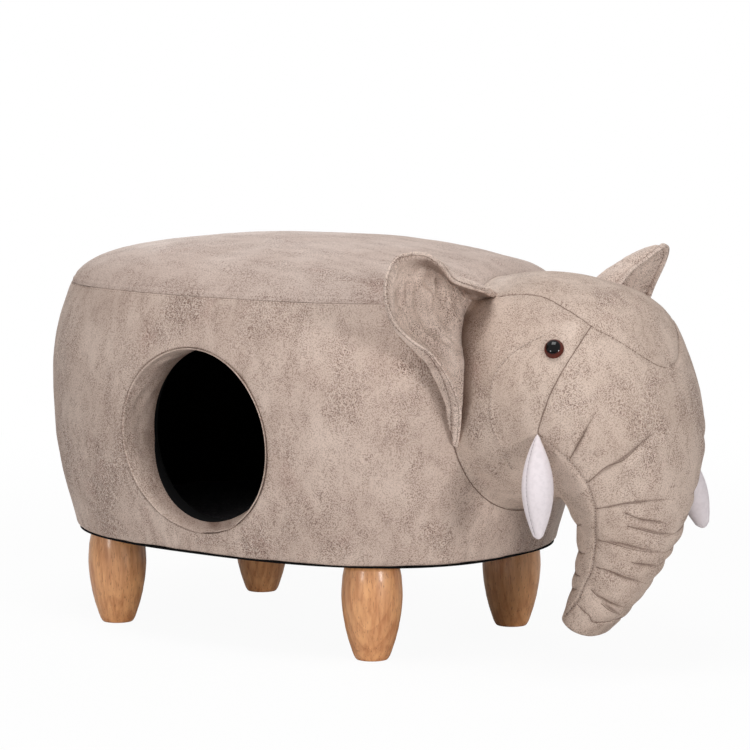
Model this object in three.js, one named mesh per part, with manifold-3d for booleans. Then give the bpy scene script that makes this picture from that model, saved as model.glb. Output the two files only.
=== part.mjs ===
// An elephant-shaped footstool with a pet cabin: millimetres, +Z up, +X towards the head.
// The body is a rounded oval box on four turned legs, open through the elephant's right flank.
import * as THREE from 'three';
import { mergeVertices } from 'three/addons/utils/BufferGeometryUtils.js';
import Module from 'manifold-3d';

const wasm = await Module();
wasm.setup();

// Body: a rounded oval seen from above, an inset at the hem and at the seat seam, widest between
const bodyLength = 534;
const bodyWidth = 394.6;
const ovalPower = 2.57;
const legHeight = 91;
const hemInset = 24;
const bulgeHeight = 148;
const seamInset = 18.7;
const sideHeight = 244;
const crownRise = 49.4;
const bulgePower = 2.2;
const crownPower = 2.28;

// Boards, padding and covers
const fit = 0.3;
const overrun = 20;
const coverThickness = 1.6;
const dustCoverThickness = 1.2;
const hemWidth = 20;
const wallInset = 32;
const wallThickness = 5;
const baseBoardThickness = 12;
const topBoardThickness = 12;
const seatLedge = 6;
const postThickness = 12;
const postWidth = 40;
const liningThickness = 1.5;
const matThickness = 8;
const matMargin = 6;

// Entry hole in the right flank
const entryDiameter = 172;
const entryForward = 10;
const entryHeight = 200.5;
const hoopThickness = 3.5;
const hoopSetback = 6;

// Turned legs, hanger bolts and tee nuts
const legForward = 159.4;
const legAside = 110.9;
const legDiameter = 57.2;
const legEdge = 1;
const boltDiameter = 8;
const boltEngagement = 32;
const boltPointLength = 6;
const boltPointDiameter = 4;
const teeFlangeDiameter = 22;
const teeFlangeThickness = 1.5;
const teeBarrelDiameter = 10.4;
const teeBarrelLength = 9;

// Stuffed head and trunk
const headReach = 162;
const headRise = 26;
const headWidth = 227;
const headPower = 2.1;
const trunkLift = 25;
const trunkTipBulge = 9;
const creaseDepth = 4;
const creaseSpread = 6;

// Ears: a cupped sheet sewn along the neck
const earReach = 123;
const earDepth = 188;
const earForward = 42;
const earThickness = 7;
const earEdgeThickness = 3.6;
const earCup = 15;
const earInset = 3;
const leftEarDrop = 17;
const leftEarSpread = 5;

// Tusks, eyes and tail
const tuskLength = 98;
const tuskDiameter = 32;
const tuskRootDiameter = 6;
const tuskTipDiameter = 5;
const tuskBow = 3;
const eyeDiameter = 18;
const eyeDomeHeight = 6.5;
const eyeRimThickness = 1.8;
const eyeShankDiameter = 6;
const eyeShankLength = 14;
const eyeWasherDiameter = 20;
const eyeWasherThickness = 2;
const eyeWasherDepth = 5;
const tailLength = 105;
const tailWidth = 12;
const tailThickness = 3;
const tuftLength = 34;
const tuftDiameter = 20;

// Mesh fineness
const ovalSteps = 48;
const entrySteps = 36;
const sideSteps = 6;
const crownSteps = 7;
const legSteps = 22;
const legRings = 9;
const roundSteps = 20;
const smallSteps = 16;
const headSteps = 32;
const headRingCount = 8;
const cheekRingCount = 14;
const trunkSteps = 24;
const earRingCount = 22;
const earSteps = 4;
const tuskSteps = 14;
const tuskRingCount = 10;
const meshTolerance = 0.01;
const weldDistance = 1e-4;
const curveTension = 0.5;
const tailSteps = 8;

// Heights and half sizes that follow from the sizes above
const halfLength = bodyLength / 2;
const halfWidth = bodyWidth / 2;
const dustTop = legHeight + dustCoverThickness;
const hemTop = dustTop + coverThickness;
const seamHeight = legHeight + sideHeight;
const widestHeight = legHeight + bulgeHeight;
const baseBoardTop = hemTop + baseBoardThickness;
const topBoardTop = seamHeight - seatLedge;
const topBoardBottom = topBoardTop - topBoardThickness;
const liningInset = wallInset + wallThickness + postThickness + fit;
const liningBottom = baseBoardTop + teeFlangeThickness + fit;
const entryRadius = entryDiameter / 2;
const tunnelRadius = entryRadius + coverThickness;
const hoopRadius = tunnelRadius + fit + hoopThickness;
const headTop = seamHeight + headRise;

// Colours and finishes
const finish = (color, roughness, metalness = 0) =>
  new THREE.MeshStandardMaterial({ color, roughness, metalness });
const hide = finish(0xb5a596, 0.72);
const tuskHide = finish(0xe6dfe2, 0.6);
const blackCloth = finish(0x0c0c0e, 0.95);
const matCloth = finish(0x1b1b1e, 0.95);
const turnedWood = finish(0xc98f55, 0.4);
const plywood = finish(0xc8a676, 0.7);
const hardboard = finish(0x7a5c3e, 0.8);
const foam = finish(0xe9dfb4, 0.9);
const steel = finish(0xa9abad, 0.35, 1);
const eyeGlass = finish(0x1d100c, 0.1);
const clearPlastic = finish(0xd8d8d6, 0.4);

// Turns a three.js geometry into a solid, with its shared vertices merged
function solidOf(geometry) {
  const bare = geometry.index ? geometry.toNonIndexed() : geometry.clone();
  bare.deleteAttribute('normal');
  bare.deleteAttribute('uv');
  const merged = mergeVertices(bare, weldDistance);
  const triVerts = [];
  const index = merged.index.array;
  for (let i = 0; i < index.length; i += 3) {
    const [a, b, c] = [index[i], index[i + 1], index[i + 2]];
    if (a !== b && b !== c && c !== a) triVerts.push(a, b, c);
  }
  return new wasm.Manifold(new wasm.Mesh({
    numProp: 3,
    vertProperties: new Float32Array(merged.attributes.position.array),
    triVerts: new Uint32Array(triVerts),
  }));
}

// Turns a solid back into a three.js geometry
function geometryOf(solid) {
  const mesh = solid.getMesh();
  const geometry = new THREE.BufferGeometry();
  geometry.setAttribute('position', new THREE.BufferAttribute(new Float32Array(mesh.vertProperties), 3));
  geometry.setIndex(new THREE.BufferAttribute(new Uint32Array(mesh.triVerts), 1));
  const flat = geometry.toNonIndexed();
  flat.computeVertexNormals();
  return flat;
}

// Joins rings of points into one closed body: looped rings close on the first, others get end caps
function loft(rings, looped = false) {
  const count = rings[0].length;
  const points = rings.flat();
  const faces = [];
  const spans = looped ? rings.length : rings.length - 1;
  for (let i = 0; i < spans; i++) {
    const next = (i + 1) % rings.length;
    for (let j = 0; j < count; j++) {
      const a = i * count + j;
      const b = i * count + (j + 1) % count;
      const c = next * count + (j + 1) % count;
      const d = next * count + j;
      faces.push(a, b, c, a, c, d);
    }
  }
  if (!looped) {
    for (const [ring, turned] of [[0, true], [rings.length - 1, false]]) {
      const middle = new THREE.Vector3();
      rings[ring].forEach(point => middle.add(point));
      points.push(middle.divideScalar(count));
      const hub = points.length - 1;
      for (let j = 0; j < count; j++) {
        const a = ring * count + j;
        const b = ring * count + (j + 1) % count;
        faces.push(...(turned ? [hub, b, a] : [hub, a, b]));
      }
    }
  }
  return closedGeometry(points, faces);
}

// Builds a geometry whose faces point out, whichever way the rings ran
function closedGeometry(points, faces) {
  let volume = 0;
  for (let i = 0; i < faces.length; i += 3) {
    const [a, b, c] = [points[faces[i]], points[faces[i + 1]], points[faces[i + 2]]];
    volume += a.dot(b.clone().cross(c));
  }
  const order = volume > 0 ? [0, 1, 2] : [0, 2, 1];
  const positions = [];
  for (let i = 0; i < faces.length; i += 3) {
    for (const k of order) positions.push(...points[faces[i + k]].toArray());
  }
  const geometry = new THREE.BufferGeometry();
  geometry.setAttribute('position', new THREE.Float32BufferAttribute(positions, 3));
  geometry.computeVertexNormals();
  return geometry;
}

const signedPower = (value, power) => Math.sign(value) * Math.abs(value) ** power;

// One ring of the body's rounded oval
function ovalRing(halfX, halfY, z) {
  const ring = [];
  for (let i = 0; i < ovalSteps; i++) {
    const angle = i / ovalSteps * Math.PI * 2;
    const x = halfX * signedPower(Math.cos(angle), 2 / ovalPower);
    const y = halfY * signedPower(Math.sin(angle), 2 / ovalPower);
    ring.push(new THREE.Vector3(x, y, z));
  }
  return ring;
}

const insetRing = (inset, z) => ovalRing(halfLength - inset, halfWidth - inset, z);

// How far the side stands in from its widest line at a height
function sideInset(z) {
  if (z < widestHeight) return hemInset * ((widestHeight - z) / bulgeHeight) ** bulgePower;
  return seamInset * ((z - widestHeight) / (seamHeight - widestHeight)) ** bulgePower;
}

const heightSteps = (low, high, count) =>
  Array.from({ length: count + 1 }, (_, i) => low + (high - low) * i / count);

// The bulging side at its common heights, grown in by a depth
const sideLevels = heightSteps(hemTop, topBoardTop, sideSteps);
const sideRings = (levels, depth) => levels.map(z => insetRing(sideInset(z) + depth, z));

// The domed top, as rings from the seam to just short of the middle
function crownRings(depth) {
  const rings = [];
  for (let i = 0; i < crownSteps; i++) {
    const angle = Math.PI / 2 * (1 - i / crownSteps);
    const share = Math.sin(angle) ** (2 / crownPower);
    const z = seamHeight + (crownRise - depth) * Math.cos(angle);
    const [crownLength, crownWidth] = [halfLength, halfWidth].map(half => (half - seamInset - depth) * share);
    rings.push(ovalRing(crownLength, crownWidth, z));
  }
  return rings;
}

// Closes a stack of rings with a point over the middle
const domed = (rings, top) => loft([...rings, rings[0].map(() => new THREE.Vector3(0, 0, top))]);

const ovalPlate = (inset, low, high) => loft([insetRing(inset, low), insetRing(inset, high)]);

// The whole upholstered body, grown by a clearance, which trims what is sewn to it
function bodyEnvelope(grow) {
  const rings = [...sideRings([legHeight, ...sideLevels], -grow), ...crownRings(-grow)];
  return solidOf(domed(rings, seamHeight + crownRise + grow));
}

// A round bar along Y, from the right flank inwards, at the entry
function entryBar(radius, fromY, toY) {
  const bar = new THREE.CylinderGeometry(radius, radius, toY - fromY, entrySteps);
  bar.translate(0, (fromY + toY) / 2, 0);
  return solidOf(bar).translate([entryForward, 0, entryHeight]);
}

const outsideY = -halfWidth - overrun;
const tunnelEndY = -(halfWidth - liningInset - liningThickness);
const entryCut = radius => entryBar(radius, outsideY, 0);

// Round pieces: a profile of radius and height turned about Z
function turned(profile, steps) {
  const points = profile.map(([radius, z]) => new THREE.Vector2(radius, z));
  const geometry = new THREE.LatheGeometry(points, steps);
  geometry.rotateX(Math.PI / 2);
  return solidOf(geometry);
}

const rod = (radius, low, high, steps) => turned([[0, low], [radius, low], [radius, high], [0, high]], steps);

const group = new THREE.Group();

function add(name, solid, material) {
  const mesh = new THREE.Mesh(geometryOf(solid), material);
  mesh.name = name;
  group.add(mesh);
  return mesh;
}

const legPlaces = [
  ['front_right', legForward, -legAside],
  ['front_left', legForward, legAside],
  ['rear_right', -legForward, -legAside],
  ['rear_left', -legForward, legAside],
];

const atLegs = (solid, tool) =>
  legPlaces.reduce((left, [, x, y]) => left.subtract(tool.translate([x, y, 0])), solid);

// Frame: base board, bent wall, battens and top board
const barrelCut = rod(teeBarrelDiameter / 2 + fit, legHeight - overrun, baseBoardTop + overrun, smallSteps);
const boltCut = rod(boltDiameter / 2 + fit, legHeight - overrun, baseBoardTop + overrun, smallSteps);
const wallInner = wallInset + wallThickness;
add('base_board', atLegs(solidOf(ovalPlate(wallInner + fit, hemTop, baseBoardTop)), barrelCut), plywood);
add('top_board', solidOf(ovalPlate(wallInset, topBoardBottom, topBoardTop)), plywood);

const wallLoop = [
  insetRing(wallInset, hemTop), insetRing(wallInset, topBoardBottom),
  insetRing(wallInner, topBoardBottom), insetRing(wallInner, hemTop),
];
add('side_wall', solidOf(loft(wallLoop, true)).subtract(entryCut(tunnelRadius + fit)), hardboard);

// Six battens stand inside the wall, clear of the entry
const wallCore = solidOf(ovalPlate(wallInner + fit, baseBoardTop, topBoardBottom));
const postAngles = [0, 63, 115, 180, 245, 297];
postAngles.forEach((degrees, i) => {
  const angle = THREE.MathUtils.degToRad(degrees);
  const x = (halfLength - wallInner - fit) * signedPower(Math.cos(angle), 2 / ovalPower);
  const y = (halfWidth - wallInner - fit) * signedPower(Math.sin(angle), 2 / ovalPower);
  const steepX = Math.abs(x) ** (ovalPower - 1) * Math.sign(x) / (halfLength - wallInner) ** ovalPower;
  const steepY = Math.abs(y) ** (ovalPower - 1) * Math.sign(y) / (halfWidth - wallInner) ** ovalPower;
  const facing = Math.atan2(steepY, steepX);
  const height = topBoardBottom - baseBoardTop;
  const block = new THREE.BoxGeometry(postThickness * 2, postWidth, height);
  block.rotateZ(facing);
  block.translate(x, y, baseBoardTop + height / 2);
  add(`frame_post_${i + 1}`, solidOf(block).intersect(wallCore), plywood);
});

// Padding over the wall and over the top board
const foamDepth = coverThickness + fit;
const sideFoamLoop = [
  ...sideRings(sideLevels, foamDepth),
  insetRing(wallInset - fit, topBoardTop), insetRing(wallInset - fit, hemTop),
];
add('side_foam', solidOf(loft(sideFoamLoop, true)).subtract(entryCut(hoopRadius + fit)), foam);

const seatFoamRings = [
  insetRing(sideInset(topBoardTop) + foamDepth, topBoardTop),
  ...crownRings(foamDepth),
];
add('seat_foam', solidOf(domed(seatFoamRings, seamHeight + crownRise - foamDepth)), foam);

// Covers: the side skin with its turned-in hem, and the domed seat skin sewn to it at the seam
const sideCoverLoop = [
  ...sideRings([dustTop, ...sideLevels, seamHeight], 0),
  ...sideRings([...sideLevels, seamHeight], coverThickness).reverse(),
  insetRing(hemInset + hemWidth, hemTop), insetRing(hemInset + hemWidth, dustTop),
];
add('side_cover', solidOf(loft(sideCoverLoop, true)).subtract(entryCut(tunnelRadius + fit)), hide);

const outerCrown = solidOf(domed(crownRings(0), seamHeight + crownRise));
const innerCrownRings = crownRings(coverThickness);
const skirt = innerCrownRings[0].map(point => point.clone().setZ(seamHeight - overrun));
const innerCrown = solidOf(domed([skirt, ...innerCrownRings], seamHeight + crownRise - coverThickness));
add('seat_cover', outerCrown.subtract(innerCrown), hide);

// Entry: a sewn tunnel, stiffened by a hoop, ending at the cabin lining
const bodySolid = bodyEnvelope(0);
const tunnel = entryBar(tunnelRadius, outsideY, tunnelEndY).subtract(entryCut(entryRadius));
add('entry_lining', tunnel.intersect(bodySolid), hide);

const hoopRegion = solidOf(loft(sideRings(sideLevels, coverThickness + hoopSetback)));
const wallRegion = solidOf(ovalPlate(wallInset - fit, hemTop - overrun, topBoardTop + overrun));
const hoopTube = entryBar(hoopRadius, outsideY, 0).subtract(entryCut(tunnelRadius + fit));
add('entry_hoop', hoopTube.intersect(hoopRegion).subtract(wallRegion), hardboard);

// Cabin: a black cloth bag with a mat on its floor, and the dust cover under the body
const liningTop = topBoardBottom - fit;
const bag = solidOf(ovalPlate(liningInset, liningBottom, liningTop));
const liningInner = liningInset + liningThickness;
const bagHollow =
  solidOf(ovalPlate(liningInner, liningBottom + liningThickness, liningTop - liningThickness));
add('cabin_lining', bag.subtract(bagHollow).subtract(entryCut(tunnelRadius + fit)), blackCloth);
const matBottom = liningBottom + liningThickness + fit;
add('cabin_mat', solidOf(ovalPlate(liningInner + matMargin, matBottom, matBottom + matThickness)), matCloth);
const dustPlate = solidOf(ovalPlate(hemInset + coverThickness, legHeight, dustTop));
add('dust_cover', atLegs(dustPlate, boltCut), blackCloth);

// Legs: radius as a share of the widest, at a share of the leg's height
const legShares = [
  [0.56, 0], [0.65, 0.088], [0.727, 0.165], [0.81, 0.253], [0.892, 0.374],
  [0.958, 0.495], [1, 0.66], [0.985, 0.8], [0.937, 0.905], [0.87, 1],
];
const legRadius = legDiameter / 2;
const legCurve = new THREE.SplineCurve(
  legShares.map(([radius, height]) => new THREE.Vector2(radius * legRadius, height * legHeight)));
const footRadius = legShares[0][0] * legRadius - legEdge;
const legProfile = [
  [0, 0], [footRadius, 0],
  ...legCurve.getPoints(legRings).map((point, i) => [point.x, i === 0 ? legEdge : point.y]),
  [0, legHeight],
];
const boltTop = baseBoardTop + teeFlangeThickness - fit;
const boltBottom = legHeight - boltEngagement;
const legBore = rod(boltDiameter / 2 + fit, boltBottom - fit, legHeight + overrun, smallSteps);
const leg = turned(legProfile, legSteps).subtract(legBore);
const bolt = turned([
  [0, boltBottom], [boltPointDiameter / 2, boltBottom], [boltDiameter / 2, boltBottom + boltPointLength],
  [boltDiameter / 2, boltTop], [0, boltTop],
], smallSteps);
const teeBarrel = rod(teeBarrelDiameter / 2, baseBoardTop - teeBarrelLength, baseBoardTop, smallSteps);
const teeFlange = rod(teeFlangeDiameter / 2, baseBoardTop, baseBoardTop + teeFlangeThickness, smallSteps);
const teeNut = teeBarrel.add(teeFlange).subtract(boltCut);
for (const [place, x, y] of legPlaces) {
  add(`leg_${place}`, leg.translate([x, y, 0]), turnedWood);
  add(`hanger_bolt_${place}`, bolt.translate([x, y, 0]), steel);
  add(`tee_nut_${place}`, teeNut.translate([x, y, 0]), steel);
}

// Head and trunk run between two rails in the middle plane: one over the forehead and down the front
// of the trunk, one under the jaw and down its back. A row gives both rails' places, as shares of the
// reach ahead of the body and of the height over the trunk's lift, and the half width as a share.
const headShares = [
  [-0.40, 0.964, -0.167, 0.307, 0.894],
  [0.006, 1.000, -0.062, 0.333, 0.970],
  [0.395, 0.985, 0.068, 0.354, 1.000],
  [0.685, 0.935, 0.179, 0.372, 0.962],
  [0.907, 0.768, 0.265, 0.381, 0.865],
  [1.007, 0.592, 0.333, 0.375, 0.745],
  [1.004, 0.443, 0.352, 0.336, 0.597],
  [0.946, 0.314, 0.349, 0.293, 0.447],
  [0.856, 0.225, 0.331, 0.229, 0.362],
  [0.735, 0.136, 0.300, 0.174, 0.306],
  [0.614, 0.077, 0.276, 0.119, 0.287],
  [0.469, 0.015, 0.253, 0.071, 0.290],
];
const rail = (columnX, columnZ) => new THREE.CatmullRomCurve3(headShares.map(row => new THREE.Vector3(
  halfLength + row[columnX] * headReach, 0, trunkLift + row[columnZ] * (headTop - trunkLift))),
false, 'catmullrom', curveTension);
const outerRail = rail(0, 1);
const innerRail = rail(2, 3);
const widthRail = new THREE.CatmullRomCurve3(
  headShares.map(row => new THREE.Vector3(row[4] * headWidth / 2, 0, 0)), false, 'catmullrom', curveTension);

// Creases: two darts run up from the side seam over the cheek, and folds cross the trunk's front.
// A row gives a crease's place along the head at the side, its rise to the front, how far round from
// the side it starts and ends, and its depth, all as shares.
const dartShares = [
  [0.407, -0.062, 0, 0.55, 1],
  [0.479, -0.039, 0, 0.93, 1],
];
const foldShares = [
  [0.552, 0.02, 0, 1, 0.8],
  [0.600, 0.05, 0.4, 1, 0.6],
  [0.648, 0.06, 0, 1, 1],
  [0.698, 0.06, 0.4, 1, 0.7],
  [0.748, 0.06, 0, 1, 1],
  [0.791, 0.06, 0.4, 1, 0.7],
  [0.834, 0.06, 0, 1, 1],
  [0.882, 0.05, 0.2, 1, 0.7],
];
const creaseFadeShare = 0.12;

function creaseAt(u, angle) {
  const round = Math.sin(angle);
  let depth = 0;
  for (const [side, rise, from, to, share] of [...dartShares, ...foldShares]) {
    const off = (u - side - rise * Math.max(0, round)) * outerRail.getLength() / creaseSpread;
    const { smoothstep } = THREE.MathUtils;
    const starts = smoothstep(round, from - creaseFadeShare, from + creaseFadeShare);
    const ends = to < 1 ? 1 - smoothstep(round, to - creaseFadeShare, to + creaseFadeShare) : 1;
    depth += share * starts * ends * Math.exp(-off * off);
  }
  return creaseDepth * Math.min(1, depth);
}

// A point on the head and trunk: u runs from the neck to the tip, angle round the section
function headPoint(u, angle, grow = 0) {
  const outer = outerRail.getPoint(u);
  const inner = innerRail.getPoint(u);
  const middle = outer.clone().add(inner).divideScalar(2);
  const span = outer.clone().sub(middle);
  const reach = span.length() + grow;
  span.normalize();
  const pinch = creaseAt(u, angle);
  const upward = (reach - pinch) * signedPower(Math.sin(angle), 2 / headPower);
  const sideways = (widthRail.getPoint(u).x + grow - pinch) * signedPower(Math.cos(angle), 2 / headPower);
  return middle.addScaledVector(span, upward).add(new THREE.Vector3(0, sideways, 0));
}

function headRing(u, steps, grow) {
  return Array.from({ length: steps }, (_, i) => headPoint(u, i / steps * Math.PI * 2, grow));
}

function headRings(from, to, count, steps, grow = 0) {
  return heightSteps(from, to, count).map(u => headRing(u, steps, grow));
}

// The trunk's end, a rounded cap over its last section
const tipShares = [0.88, 0.62, 0.28];
function tipRings(steps, grow) {
  const last = headRing(1, steps, grow);
  const before = headRing(1 - 1 / headShares.length, steps, grow);
  const middleOf = ring =>
    ring.reduce((sum, point) => sum.add(point), new THREE.Vector3()).divideScalar(steps);
  const middle = middleOf(last);
  const onward = middle.clone().sub(middleOf(before)).normalize();
  return tipShares.map(share => last.map(point => middle.clone()
    .add(point.clone().sub(middle).multiplyScalar(share))
    .addScaledVector(onward, (trunkTipBulge + grow) * Math.sqrt(1 - share * share))));
}

const trunkRootShare = 0.52;
const trunkGapShare = 0.0012;
const cheekShare = 0.34;
const stuffedHead = grow => solidOf(loft([
  ...headRings(0, cheekShare, headRingCount, headSteps, grow),
  ...headRings(cheekShare, trunkRootShare, cheekRingCount, headSteps, grow).slice(1),
]));

// The trunk's rings follow its folds: each fold has a ring along its bottom and one on either side
const foldSideShare = 0.014;
const trunkStations = [
  [trunkRootShare + trunkGapShare, 0], ...foldShares.flatMap(([side, rise], i) => {
    const [nextSide, nextRise] = foldShares[i + 1] ?? [1, 0];
    return [[side - foldSideShare, rise], [side, rise], [side + foldSideShare, rise],
      [(side + nextSide) / 2, (rise + nextRise) / 2]];
  }), [1, 0],
];
const trunkRing = (u, rise, grow) => Array.from({ length: trunkSteps }, (_, i) => {
  const angle = i / trunkSteps * Math.PI * 2;
  return headPoint(u + rise * Math.max(0, Math.sin(angle)), angle, grow);
});
const stuffedTrunk = grow => solidOf(loft([
  ...trunkStations.map(([u, rise]) => trunkRing(u, rise, grow)), ...tipRings(trunkSteps, grow)]));
const bodyTrim = bodyEnvelope(fit);
const headTrim = stuffedHead(fit).add(stuffedTrunk(fit));

// A frame on the head's skin: a place, and the way out of it
function headFrame(u, angle) {
  const step = 0.01;
  const place = headPoint(u, angle);
  const along = headPoint(u + step, angle).sub(headPoint(u - step, angle));
  const round = headPoint(u, angle + step).sub(headPoint(u, angle - step));
  const out = along.cross(round).normalize();
  const middle = outerRail.getPoint(u).add(innerRail.getPoint(u)).divideScalar(2);
  if (out.dot(place.clone().sub(middle)) < 0) out.negate();
  return { place, out };
}

// Aims a solid that was made along +Z
function aimed(solid, place, out) {
  const turn = new THREE.Quaternion().setFromUnitVectors(new THREE.Vector3(0, 0, 1), out);
  const matrix = new THREE.Matrix4().compose(place, turn, new THREE.Vector3(1, 1, 1));
  return solid.transform(matrix.toArray());
}

// Eyes: a domed head on a shank, through the skin and into a washer
const eyeShare = 0.253;
const eyeAngle = THREE.MathUtils.degToRad(32.6);
const eyeRadius = eyeDiameter / 2;
const domeShares = [[1, 0], [0.94, 0.34], [0.78, 0.62], [0.55, 0.83], [0.28, 0.96], [0, 1]];
const eyeSolid = turned([
  [0, -eyeShankLength], [eyeShankDiameter / 2, -eyeShankLength], [eyeShankDiameter / 2, fit],
  [eyeRadius - eyeRimThickness / 2, fit], [eyeRadius, fit + eyeRimThickness / 2],
  ...domeShares.map(([radius, height]) =>
    [radius * eyeRadius, fit + eyeRimThickness + height * (eyeDomeHeight - eyeRimThickness)]),
], roundSteps);
const shankCut = rod(eyeShankDiameter / 2 + fit, -eyeShankLength - fit, overrun, smallSteps);
const eyeSeat = rod(eyeRadius + fit, 0, overrun, roundSteps);
const washerCut = rod(
  eyeWasherDiameter / 2 + fit, -eyeWasherDepth - eyeWasherThickness - fit, -eyeWasherDepth + fit, smallSteps);
const eyeCut = shankCut.add(washerCut).add(eyeSeat);
const washer = rod(eyeWasherDiameter / 2, -eyeWasherDepth - eyeWasherThickness, -eyeWasherDepth, smallSteps)
  .subtract(shankCut);
let head = stuffedHead(0).subtract(bodyTrim);
for (const [side, angle] of [['left', eyeAngle], ['right', Math.PI - eyeAngle]]) {
  const { place, out } = headFrame(eyeShare, angle);
  const inward = place.clone().addScaledVector(out, -eyeRimThickness / 2);
  head = head.subtract(aimed(eyeCut, inward, out));
  add(`eye_${side}`, aimed(eyeSolid, inward, out), eyeGlass);
  add(`eye_washer_${side}`, aimed(washer, inward, out), clearPlastic);
}

// Ears: the sewn root runs up the neck and forward over the head, and the rim stands out from it.
// A row gives a place on the root and its partner on the rim, from the root's foot up and over, each
// as shares of the ear's lean forward, reach aside and depth.
const earShares = [
  [0, 0, 0, 0.05, 0.01, 0.01],
  [0.11, 0.03, 0.09, 0.32, 0.10, 0.11],
  [0.23, 0.06, 0.18, 0.52, 0.18, 0.22],
  [0.27, 0.07, 0.26, 0.58, 0.25, 0.29],
  [0.27, 0.06, 0.32, 0.49, 0.34, 0.40],
  [0.25, 0.05, 0.37, 0.39, 0.49, 0.51],
  [0.23, 0.03, 0.43, 0.30, 0.68, 0.58],
  [0.18, 0, 0.48, 0.25, 0.86, 0.67],
  [0.12, -0.02, 0.52, 0.27, 0.97, 0.78],
  [0.06, -0.06, 0.56, 0.39, 1.02, 0.89],
  [-0.01, -0.11, 0.60, 0.51, 0.96, 0.97],
  [-0.08, -0.17, 0.65, 0.65, 0.83, 0.99],
  [-0.15, -0.23, 0.69, 0.82, 0.71, 0.98],
  [-0.18, -0.28, 0.73, 0.92, 0.59, 0.93],
  [-0.06, -0.31, 0.74, 0.89, 0.46, 0.86],
  [0.15, -0.31, 0.75, 0.85, 0.27, 0.82],
  [0.35, -0.30, 0.75, 0.68, -0.01, 0.78],
  [0.45, -0.31, 0.74, 0.50, -0.26, 0.75],
];
const earFootShares = [-0.12, 0.436, 0.525];
const earFoot = new THREE.Vector3(
  halfLength + headReach * earFootShares[0], headWidth * earFootShares[1],
  trunkLift + (headTop - trunkLift) * earFootShares[2]);
const earCurve = column => new THREE.CatmullRomCurve3(earShares.map(row => new THREE.Vector3(
  row[column] * earForward, row[column + 1] * earReach, row[column + 2] * earDepth).add(earFoot)),
false, 'catmullrom', curveTension);
const earRoot = earCurve(0);
const earRim = earCurve(3);

// A place on the middle of the ear's sheet: the root is at 0 across and the rim at 1, and the sheet
// sags back between them, and up where the top folds over
const sagShares = { skew: 1.3, ends: 0.6, foldStart: 0.5, foldEnd: 0.8, foldBack: 0.4, foldLift: 0.5 };

function earPoint(along, across) {
  const from = earRoot.getPoint(along);
  const to = earRim.getPoint(along);
  const cup = earCup * Math.sin(Math.PI * THREE.MathUtils.clamp(across, 0, 1) ** sagShares.skew)
    * Math.sin(Math.PI * along) ** sagShares.ends;
  const folded = THREE.MathUtils.smoothstep(along, sagShares.foldStart, sagShares.foldEnd);
  const point = from.lerp(to, across);
  point.x -= cup * (1 - sagShares.foldBack * folded);
  point.z += cup * sagShares.foldLift * folded;
  return point;
}

function earSection(along) {
  const step = 0.01;
  const front = [];
  const back = [];
  for (let i = 0; i <= earSteps; i++) {
    const span = earRoot.getPoint(along).distanceTo(earRim.getPoint(along));
    const across = THREE.MathUtils.lerp(-earInset / span, 1, i / earSteps);
    const a = THREE.MathUtils.clamp(along, step, 1 - step);
    const slope = earPoint(a + step, across).sub(earPoint(a - step, across));
    const reach = earPoint(a, across + step).sub(earPoint(a, across - step));
    const normal = slope.cross(reach).normalize();
    const half = THREE.MathUtils.lerp(earThickness, earEdgeThickness, Math.max(0, across) ** 2) / 2;
    const middle = earPoint(along, across);
    front.push(middle.clone().addScaledVector(normal, half));
    back.push(middle.clone().addScaledVector(normal, -half));
  }
  return [...front, ...back.reverse()];
}

const earStartShare = 0.006;
const earEndShare = 0.97;
const earSolid = solidOf(loft(heightSteps(earStartShare, earEndShare, earRingCount).map(earSection)));

// Keeps the piece that carries on from the trim, without crumbs cut off behind it
const largest = solid =>
  solid.decompose().reduce((best, part) => (part.volume() > best.volume() ? part : best));

const leftEar = earSolid.warp(vertex => {
  const out = Math.max(0, vertex[1] - earFoot.y) / earReach;
  const up = Math.max(0, vertex[2] - earFoot.z) / earDepth;
  vertex[2] -= leftEarDrop * (out + up) / 2;
  vertex[1] += leftEarSpread * out;
});
for (const [side, ear] of [['left', leftEar], ['right', earSolid.mirror([0, 1, 0])]]) {
  add(`ear_${side}`, largest(ear.subtract(headTrim).subtract(bodyTrim)).simplify(meshTolerance), hide);
}

// Tusks: stuffed spindles sewn on where the cheek seam ends
const rightTuskShare = 0.311;
const leftTuskShare = 0.355;
const tuskAngle = THREE.MathUtils.degToRad(-6.5);
const tuskSwellShares = { skew: 0.95, blunt: 0.85 };
function tuskRings(place, tip) {
  const aim = tip.clone().sub(place);
  const away = new THREE.Vector3(-aim.z, 0, aim.x).normalize();
  const across = new THREE.Vector3().crossVectors(aim, away).normalize();
  return heightSteps(0, 1, tuskRingCount).map(share => {
    const ends = THREE.MathUtils.lerp(tuskRootDiameter, tuskTipDiameter, share);
    const swell = Math.sin(Math.PI * share ** tuskSwellShares.skew) ** tuskSwellShares.blunt;
    const radius = (ends + (tuskDiameter - ends) * swell) / 2;
    const middle = place.clone().lerp(tip, share).addScaledVector(away, -tuskBow * Math.sin(Math.PI * share));
    return Array.from({ length: tuskSteps }, (_, i) => {
      const angle = i / tuskSteps * Math.PI * 2;
      return middle.clone().addScaledVector(away, radius * Math.cos(angle))
        .addScaledVector(across, radius * Math.sin(angle));
    });
  });
}
const rightTuskAim = new THREE.Vector3(0.185, -0.235, -0.955).normalize();
const leftTuskAim = new THREE.Vector3(0.20, 0.29, -0.935).normalize();
for (const [side, share, angle, aim] of [
  ['left', leftTuskShare, tuskAngle, leftTuskAim],
  ['right', rightTuskShare, Math.PI - tuskAngle, rightTuskAim],
]) {
  const { place } = headFrame(share, angle);
  const tip = place.clone().addScaledVector(aim, tuskLength);
  add(`tusk_${side}`, largest(solidOf(loft(tuskRings(place, tip))).subtract(headTrim)), tuskHide);
}

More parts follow.
